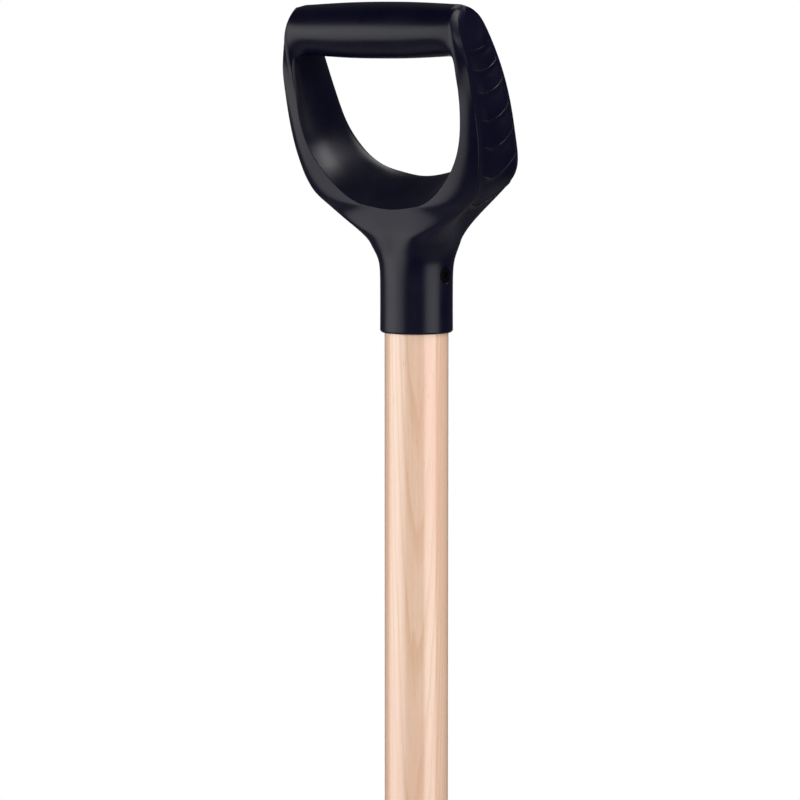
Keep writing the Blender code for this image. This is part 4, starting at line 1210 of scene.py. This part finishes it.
class SPADE_OT_blade(bpy.types.Operator):
    """Make the pressed blade with its ground edge"""

    bl_idname = "spade.blade"
    bl_label = "Blade"

    def execute(self, context):
        sizes = context.scene.spade.blade
        bm = bmesh.new()
        front = bmesh.ops.create_grid(bm, x_segments=BLADE_COLUMNS, y_segments=BLADE_ROWS,
                                      size=1.0)["verts"]
        back = only_verts(bmesh.ops.extrude_face_region(bm, geom=bm.faces[:])["geom"])
        for verts, side in ((front, -1), (back, 1)):
            for vert in verts:
                row = BLADE_HEIGHT * ((vert.co.y + 1) / 2) ** ROW_CROWDING
                rise = sizes.edge_curve * vert.co.x**2 * (1 - row / BLADE_HEIGHT) ** 2
                z = row + rise
                share = min(row / sizes.bevel_height, 1.0)
                thick = sizes.edge_thickness + (sizes.thickness - sizes.edge_thickness) * share
                x = vert.co.x * blade_half_width(z)
                vert.co = (x, blade_middle_y(x, z) + side * thick / 2, z)
        bmesh.ops.recalc_face_normals(bm, faces=bm.faces)
        round_edges(bm, rim_edges(bm), sizes.corner, clamp=True)
        finish_piece("blade_plate", bm, "black_powder_coat", "blade_enamel", "blade")
        return {"FINISHED"}


# Socket and rivets

# Squareness of a circle, and the power by which the neck's section turns round
ROUND = 2.0
NECK_ROUNDING_POWER = 0.6
# Sections of the tongue's round tip, its straight part, the neck and the tapered tube
TIP_DEGREES = range(8, 91, 6)
TONGUE_STEPS = 10
NECK_STEPS = 22
TUBE_STEPS = 24
# The tongue's tip is thinner than the rest, and thickens over this length
TIP_THICKNESS_SHARE = 0.55
TIP_TAPER = 0.004
# How far the tongue's bend keeps from the blade's top, below it and above it
BEND_MARGIN = 0.002
# Places round the mouth's outer and inner rounding
MOUTH_OUTER_DEGREES = (30, 60, 90)
MOUTH_INNER_DEGREES = (0, 45, 90)
# Sections of a rivet's domed head
RIVET_DOME_STEPS = 10


def socket_radius(z):
    s = bpy.context.scene.spade.socket
    top = SHAFT_RADIUS + s.fit + s.wall
    share = (SOCKET_TOP_Z - z) / s.round_length
    return top + (s.neck_diameter / 2 - top) * share


def tongue_half_width(z):
    s = bpy.context.scene.spade.socket
    rise = z - (BLADE_HEIGHT - s.tongue_length)
    if rise < s.tip_radius:
        return math.sqrt(max(s.tip_radius**2 - (s.tip_radius - rise) ** 2, 0.0))
    share = min((rise - s.tip_radius) / (s.tongue_length - s.tip_radius), 1.0)
    return s.tip_radius + (s.tongue_half_width - s.tip_radius) * share


def socket_ring(z, half_width, half_depth, middle_y, squareness, seam=0.0):
    """One section of the socket: a circle where squareness is 2, flat-sided above it."""
    s = bpy.context.scene.spade.socket
    ring = []
    for index in range(s.steps):
        turn = math.tau * index / s.steps
        cosine, sine = math.cos(turn), math.sin(turn)
        x = half_width * math.copysign(abs(cosine) ** (2 / squareness), cosine)
        y = middle_y + half_depth * math.copysign(abs(sine) ** (2 / squareness), sine)
        if seam and sine > 0 and abs(x) < s.seam_width:
            y -= seam * (1 - abs(x) / s.seam_width)
        if z < BLADE_HEIGHT + SEAT_GAP:
            y = max(y, blade_back_y(x, z) + SEAT_GAP)
        ring.append((x, y, z))
    return ring


def tongue_rings(s):
    """Sections of the flat tongue, from its round tip up to its bend."""
    tip = BLADE_HEIGHT - s.tongue_length
    thin = s.tongue_thickness / 2
    levels = [tip + s.tip_radius * (1 - math.cos(math.radians(step))) for step in TIP_DEGREES]
    levels += spaced(levels[-1], BLADE_HEIGHT - BEND_MARGIN, TONGUE_STEPS)[1:]
    rings = []
    for z in levels:
        middle = blade_back_y(0.0, z) + SEAT_GAP + thin
        share = min((z - tip) / TIP_TAPER, 1.0)
        depth = thin * (TIP_THICKNESS_SHARE + (1 - TIP_THICKNESS_SHARE) * share)
        rings.append(socket_ring(z, tongue_half_width(z), depth, middle, s.squareness))
    return rings


def neck_rings(s):
    """Sections from the tongue's bend up to where the socket is round."""
    thin = s.tongue_thickness / 2
    flat_middle = blade_back_y(0.0, BLADE_HEIGHT) + SEAT_GAP + thin
    neck = s.neck_diameter / 2
    neck_z = SOCKET_TOP_Z - s.round_length
    start = BLADE_HEIGHT + BEND_MARGIN
    rings = []
    for share in spaced(0.0, 1.0, NECK_STEPS)[1:]:
        ease = smooth_step(share)
        rings.append(socket_ring(
            start + (neck_z - start) * share,
            s.tongue_half_width + (neck - s.tongue_half_width) * ease,
            thin + (neck - thin) * ease,
            flat_middle + (AXIS_Y - flat_middle) * ease,
            s.squareness + (ROUND - s.squareness) * ease**NECK_ROUNDING_POWER,
            s.seam_depth * ease,
        ))
    return rings


def tube_rings(s):
    """Sections of the tapered tube, round its mouth and down inside its bore."""
    neck_z = SOCKET_TOP_Z - s.round_length
    levels = spaced(neck_z, SOCKET_TOP_Z - s.mouth_round, TUBE_STEPS)[1:]
    outside = [(z, socket_radius(z)) for z in levels]
    outer = socket_radius(SOCKET_TOP_Z)
    for turn in map(math.radians, MOUTH_OUTER_DEGREES):
        outside.append((SOCKET_TOP_Z - s.mouth_round * (1 - math.sin(turn)),
                        outer - s.mouth_round * (1 - math.cos(turn))))
    bore = SHAFT_RADIUS + s.fit
    inside = []
    for turn in map(math.radians, MOUTH_INNER_DEGREES):
        inside.append((SOCKET_TOP_Z - s.mouth_round * (1 - math.cos(turn)),
                       bore + s.mouth_round * (1 - math.sin(turn))))
    foot_bore = bpy.context.scene.spade.shaft.foot_diameter / 2 + s.fit
    inside.append((SHAFT_LOW.z - SEAT_GAP, foot_bore))
    rings = [socket_ring(z, radius, radius, AXIS_Y, ROUND, s.seam_depth) for z, radius in outside]
    return rings + [socket_ring(z, radius, radius, AXIS_Y, ROUND) for z, radius in inside]


class SPADE_OT_socket(bpy.types.Operator):
    """Make the socket and the two rivets through it"""

    bl_idname = "spade.socket"
    bl_label = "Socket and rivets"

    def execute(self, context):
        sizes = context.scene.spade.socket
        tube = lofted(tongue_rings(sizes) + neck_rings(sizes) + tube_rings(sizes))
        finish_piece("socket_tube", tube, "black_powder_coat", "socket_enamel", "socket",
                     sharp=40.0)
        for word in ("upper", "lower"):
            low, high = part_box("rivet_" + word)
            self.make_rivet("rivet_head_" + word, (low.z + high.z) / 2, sizes, "rivet_" + word)
        return {"FINISHED"}

    def make_rivet(self, name, z, sizes, node):
        head = sizes.rivet_head_diameter / 2
        shank = sizes.rivet_diameter / 2
        seat = max(socket_radius(z - head), socket_radius(z + head)) + SEAT_GAP
        dome = [(head * math.cos(turn), seat + sizes.rivet_head_height * math.sin(turn))
                for turn in spaced(0.0, QUARTER_TURN, RIVET_DOME_STEPS)]
        dome[-1] = (0.0, dome[-1][1])
        back = [(radius, -rise) for radius, rise in reversed(dome)]
        bm = turned(back + [(shank, -seat), (shank, seat)] + dome, FASTENER_STEPS)
        turn = Matrix.Rotation(-QUARTER_TURN, 4, "X")
        place = Matrix.Translation((0, AXIS_Y, z)) @ turn
        finish_piece(name, move(bm, place), "headed_rivet_steel", "rivet_steel", node, sharp=40.0)


# Steps across a tread and round one of its corners
TREAD_STEPS = 24
TREAD_CORNER_STEPS = 9


class SPADE_OT_treads(bpy.types.Operator):
    """Make the two foot treads on the blade's top edge"""

    bl_idname = "spade.treads"
    bl_label = "Foot treads"

    def execute(self, context):
        sizes = context.scene.spade.blade
        for word, side in SIDES:
            low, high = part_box("tread_" + word)
            inner, outer = sorted((abs(low.x), abs(high.x)))
            bm = self.tread(sizes, side, inner, outer, low.z, high.z - low.z)
            finish_piece("tread_strip_" + word, bm, "black_powder_coat", "tread_enamel",
                         "tread_" + word, sharp=40.0)
        return {"FINISHED"}

    def tread(self, sizes, side, inner, outer, bottom, thick):
        """A flat strip that follows the plate's front, with round corners at its back."""
        half = sizes.thickness / 2
        outline = [(x, blade_middle_y(x, BLADE_HEIGHT) - half)
                   for x in spaced(inner, outer, TREAD_STEPS)]
        back_y = outline[0][1] + sizes.tread_width
        corner = sizes.tread_corner
        turns = spaced(0.0, QUARTER_TURN, TREAD_CORNER_STEPS)
        outline += [(outer - corner + corner * math.cos(turn),
                     back_y - corner + corner * math.sin(turn)) for turn in turns]
        outline += [(inner + corner - corner * math.sin(turn),
                     back_y - corner + corner * math.cos(turn)) for turn in turns]
        bm = bmesh.new()
        face = bm.faces.new([bm.verts.new((side * x, y, bottom)) for x, y in outline])
        top = only_verts(bmesh.ops.extrude_face_region(bm, geom=[face])["geom"])
        bmesh.ops.translate(bm, vec=(0, 0, thick), verts=top)
        bmesh.ops.recalc_face_normals(bm, faces=bm.faces)
        level = [edge for edge in rim_edges(bm)
                 if abs(edge.verts[0].co.z - edge.verts[1].co.z) < MERGE_DISTANCE]
        round_edges(bm, level, sizes.tread_edge, segments=3)
        return bm


# Weld beads

# Fineness of a bead: rings to a ripple, and points round a ring
RINGS_PER_RIPPLE = 6
BEAD_SIDES = 14
# A ripple rises to its crest by this power, and bows back by this share of its length
CREST_POWER = 1.5
RIPPLE_BOW = 0.5
# Slow changes of a bead's radius: share of it, and pace in radians to a ripple
SWAYS = ((0.05, 1.7), (0.04, 0.43))
# The radius at which a bead's end is closed, as a share of its full one
END_RADIUS_SHARE = 0.02
# Where the socket's bead starts below the blade's top, steps along the straight beads, and places
# round the tongue's tip
SOCKET_WELD_DROP = 0.012
WELD_STEPS = 16
WELD_ARC_DEGREES = range(-9, -90, -9)


def bead(points, sizes):
    """A rippled bead of weld: rings along a line of points, each crested where it froze."""
    starts = [0.0]
    for first, second in zip(points, points[1:]):
        starts.append(starts[-1] + (second - first).length)
    total = starts[-1]
    rings = []
    for walked in spaced(0.0, total, round(total / (sizes.weld_ripple / RINGS_PER_RIPPLE))):
        span = max(i for i, start in enumerate(starts[:-1]) if start <= walked)
        share = (walked - starts[span]) / (starts[span + 1] - starts[span])
        middle = points[span].lerp(points[span + 1], share)
        ahead = (points[span + 1] - points[span]).normalized()
        phase = walked / sizes.weld_ripple
        crest = (phase - math.floor(phase)) ** CREST_POWER
        sway = 1 + sum(part * math.sin(phase * pace) for part, pace in SWAYS)
        end = min(walked, total - walked) / sizes.weld_radius
        taper = math.sqrt(max(1 - (1 - min(end, 1.0)) ** 2, END_RADIUS_SHARE**2))
        radius = (sizes.weld_radius * sway - sizes.weld_depth * (1 - crest)) * taper
        across = ahead.cross(Vector((0, 1, 0))).normalized()
        out = across.cross(ahead).normalized()
        ring = []
        for step in range(BEAD_SIDES):
            turn = math.tau * step / BEAD_SIDES
            bow = -RIPPLE_BOW * sizes.weld_ripple * (1 - abs(math.cos(turn)))
            place = middle + across * (radius * math.cos(turn)) + out * (radius * math.sin(turn))
            ring.append(place + ahead * bow * taper)
        rings.append(ring)
    return lofted(rings)


class SPADE_OT_welds(bpy.types.Operator):
    """Make the weld beads round the tongue and under the treads"""

    bl_idname = "spade.welds"
    bl_label = "Weld beads"

    def execute(self, context):
        sizes = context.scene.spade.blade
        tongue = context.scene.spade.socket
        offset = sizes.weld_radius + SEAT_GAP
        start = BLADE_HEIGHT - tongue.tongue_length + tongue.tip_radius
        reach = tongue.tip_radius + offset
        heights = spaced(BLADE_HEIGHT - SOCKET_WELD_DROP, start, WELD_STEPS)
        right = [(tongue_half_width(z) + offset, z) for z in heights]
        right += [(reach * math.cos(turn), start + reach * math.sin(turn))
                  for turn in map(math.radians, WELD_ARC_DEGREES)]
        outline = right + [(0.0, start - reach)] + [(-x, z) for x, z in reversed(right)]
        self.weld("weld_round_tongue", outline, "socket_weld", sizes)
        z = BLADE_HEIGHT - sizes.weld_radius
        inner = TREAD_INNER_X + sizes.tread_weld_inset
        outer = BLADE_TOP_WIDTH / 2 - sizes.tread_weld_inset
        for word, side in SIDES:
            outline = [(side * x, z) for x in spaced(inner, outer, WELD_STEPS)]
            self.weld("weld_under_tread_" + word, outline, "tread_weld_" + word, sizes)
        return {"FINISHED"}

    def weld(self, name, outline, node, sizes):
        """A bead that lies on the blade's back along a line of (x, z) places."""
        points = [Vector((x, blade_back_y(x, z) + SEAT_GAP + sizes.weld_radius, z))
                  for x, z in outline]
        finish_piece(name, bead(points, sizes), "black_powder_coat", "weld_enamel", node,
                     sharp=60.0)


# Studio


def direction(azimuth, elevation):
    """A unit vector from the spade, with azimuth 0 to the front and growing to the right."""
    level = math.cos(elevation)
    return Vector((math.sin(azimuth) * level, -math.cos(azimuth) * level, math.sin(elevation)))


class SPADE_OT_studio(bpy.types.Operator):
    """Make the floor, the backdrop, the lamps and the camera"""

    bl_idname = "spade.studio"
    bl_label = "Studio"

    def execute(self, context):
        settings = context.scene.spade
        self.camera(context, settings.studio)
        self.lamps(settings.studio)
        self.world(context, settings.studio)
        self.floor(settings)
        self.backdrop(settings)
        context.scene.view_settings.view_transform = "Standard"
        return {"FINISHED"}

    def camera(self, context, studio):
        data = bpy.data.cameras.new("photo_camera")
        data.sensor_width = studio.sensor
        data.lens = studio.sensor * studio.distance / studio.frame_width
        back = direction(studio.azimuth, studio.pitch)
        turn = (-back).to_track_quat("-Z", "Y")
        target = Vector((0, AXIS_Y, FERRULE_Z - studio.target_drop))
        aside = turn @ Vector((-studio.aside, 0, 0))
        camera = placed("photo_camera", data)
        camera.rotation_mode = "QUATERNION"
        camera.rotation_quaternion = turn
        camera.location = target + back * studio.distance + aside
        context.scene.camera = camera

    def lamps(self, studio):
        middle = Vector((0, AXIS_Y, studio.lamp_level))
        left = (studio.side_distance, studio.left_width, studio.side_height)
        right = (studio.side_distance, studio.right_width, studio.side_height)
        high = (studio.high_distance, studio.high_size, studio.high_size)
        small = (studio.high_distance, studio.accent_width, studio.accent_height)
        for name, turn, pitch, (distance, width, height), power in (
            ("left_softbox", studio.left_turn, 0.0, left, studio.left_power),
            ("right_softbox", studio.right_turn, 0.0, right, studio.right_power),
            ("high_front_softbox", studio.front_turn, studio.front_pitch, high, studio.front_power),
            ("high_back_softbox", studio.back_turn, studio.back_pitch, high, studio.back_power),
            ("accent", studio.accent_turn, studio.accent_pitch, small, studio.accent_power),
        ):
            data = bpy.data.lights.new(name, "AREA")
            data.shape = "RECTANGLE"
            data.size = width
            data.size_y = height
            data.energy = power
            data.spread = studio.spread
            lamp = placed(name, data)
            away = direction(studio.azimuth + turn, pitch)
            lamp.location = middle + away * distance
            lamp.rotation_mode = "QUATERNION"
            lamp.rotation_quaternion = away.to_track_quat("Z", "Y")
            lamp.visible_camera = False

    def world(self, context, studio):
        world = bpy.data.worlds.new("studio_air")
        world.use_nodes = True
        air = world.node_tree.nodes["Background"]
        set_inputs(world.node_tree, air, {"Color": grey(studio.world_level), "Strength": 1.0})
        context.scene.world = world

    def floor(self, settings):
        """A pale round floor that keeps the shadow, and fades into the air at its rim."""
        studio = settings.studio
        material, tree, shader, where = new_material("studio_floor")
        out = add_node(tree, "ShaderNodeVectorMath", {0: where}, operation="LENGTH")
        fade = add_node(tree, "ShaderNodeMapRange",
                        {"Value": out.outputs["Value"], "From Min": studio.floor_fade,
                         "From Max": studio.floor_radius, "To Min": 1.0, "To Max": 0.0},
                        interpolation_type="SMOOTHSTEP")
        set_inputs(tree, shader, {"Base Color": (*settings.finish.ground, 1.0), "Roughness": 0.8,
                                  "Alpha": fade.outputs["Result"]})
        bm = bmesh.new()
        bmesh.ops.create_circle(bm, cap_ends=True, segments=128, radius=studio.floor_radius)
        self.stage_piece("studio_floor", bm, material)

    def backdrop(self, settings):
        """A white panel far behind the spade, as the camera, gloss and glass see it."""
        studio = settings.studio
        material, tree, shader, _ = new_material("studio_backdrop")
        set_inputs(tree, shader, {"Base Color": (*settings.finish.ground, 1.0)})
        light = add_node(tree, "ShaderNodeLightPath", {})
        seen = light.outputs["Is Camera Ray"]
        for other in ("Is Glossy Ray", "Is Transmission Ray"):
            either = add_node(tree, "ShaderNodeMath", {0: seen, 1: light.outputs[other]},
                              operation="MAXIMUM")
            seen = either.outputs[0]
        white = add_node(tree, "ShaderNodeEmission", {"Color": grey(1.0), "Strength": 1.0})
        mix = add_node(tree, "ShaderNodeMixShader",
                       {"Fac": seen, 1: shader.outputs["BSDF"], 2: white.outputs["Emission"]})
        set_inputs(tree, tree.nodes["Material Output"], {"Surface": mix.outputs["Shader"]})
        bm = bmesh.new()
        bmesh.ops.create_grid(bm, x_segments=1, y_segments=1, size=studio.backdrop_size / 2)
        away = -direction(studio.azimuth, 0.0)
        turn = away.to_track_quat("Z", "Y").to_matrix().to_4x4()
        rise = Vector((0, 0, studio.backdrop_level))
        place = Matrix.Translation(away * studio.backdrop_distance + rise)
        self.stage_piece("studio_backdrop", move(bm, place @ turn), material)

    def stage_piece(self, name, bm, material):
        piece = new_object(name, bm)
        piece.data.materials.append(material)


OPERATORS = (SPADE_OT_handle, SPADE_OT_side_panels, SPADE_OT_screw, SPADE_OT_shaft,
             SPADE_OT_socket, SPADE_OT_blade, SPADE_OT_treads, SPADE_OT_welds, SPADE_OT_studio)


class SPADE_PT_sidebar(bpy.types.Panel):
    """Lists the spade's operators in the order in which they are run"""

    bl_idname = "SPADE_PT_sidebar"
    bl_label = "Digging spade"
    bl_space_type = "VIEW_3D"
    bl_region_type = "UI"
    bl_category = "Spade"

    def draw(self, context):
        for operator in OPERATORS:
            self.layout.operator(operator.bl_idname)


CLASSES = (HandleSizes, PanelSizes, ShaftSizes, ScrewSizes, SocketSizes, BladeSizes,
           FinishColours, StudioSizes, SpadeSettings, *OPERATORS, SPADE_PT_sidebar)


def register():
    for cls in CLASSES:
        bpy.utils.register_class(cls)
    bpy.types.Scene.spade = PointerProperty(type=SpadeSettings)


def unregister():
    del bpy.types.Scene.spade
    for cls in reversed(CLASSES):
        bpy.utils.unregister_class(cls)


def main():
    register()
    bpy.ops.spade.handle()
    bpy.ops.spade.side_panels()
    bpy.ops.spade.screw()
    bpy.ops.spade.shaft()
    bpy.ops.spade.socket()
    bpy.ops.spade.blade()
    bpy.ops.spade.treads()
    bpy.ops.spade.welds()
    bpy.ops.spade.studio()


if __name__ == "__main__":
    main()
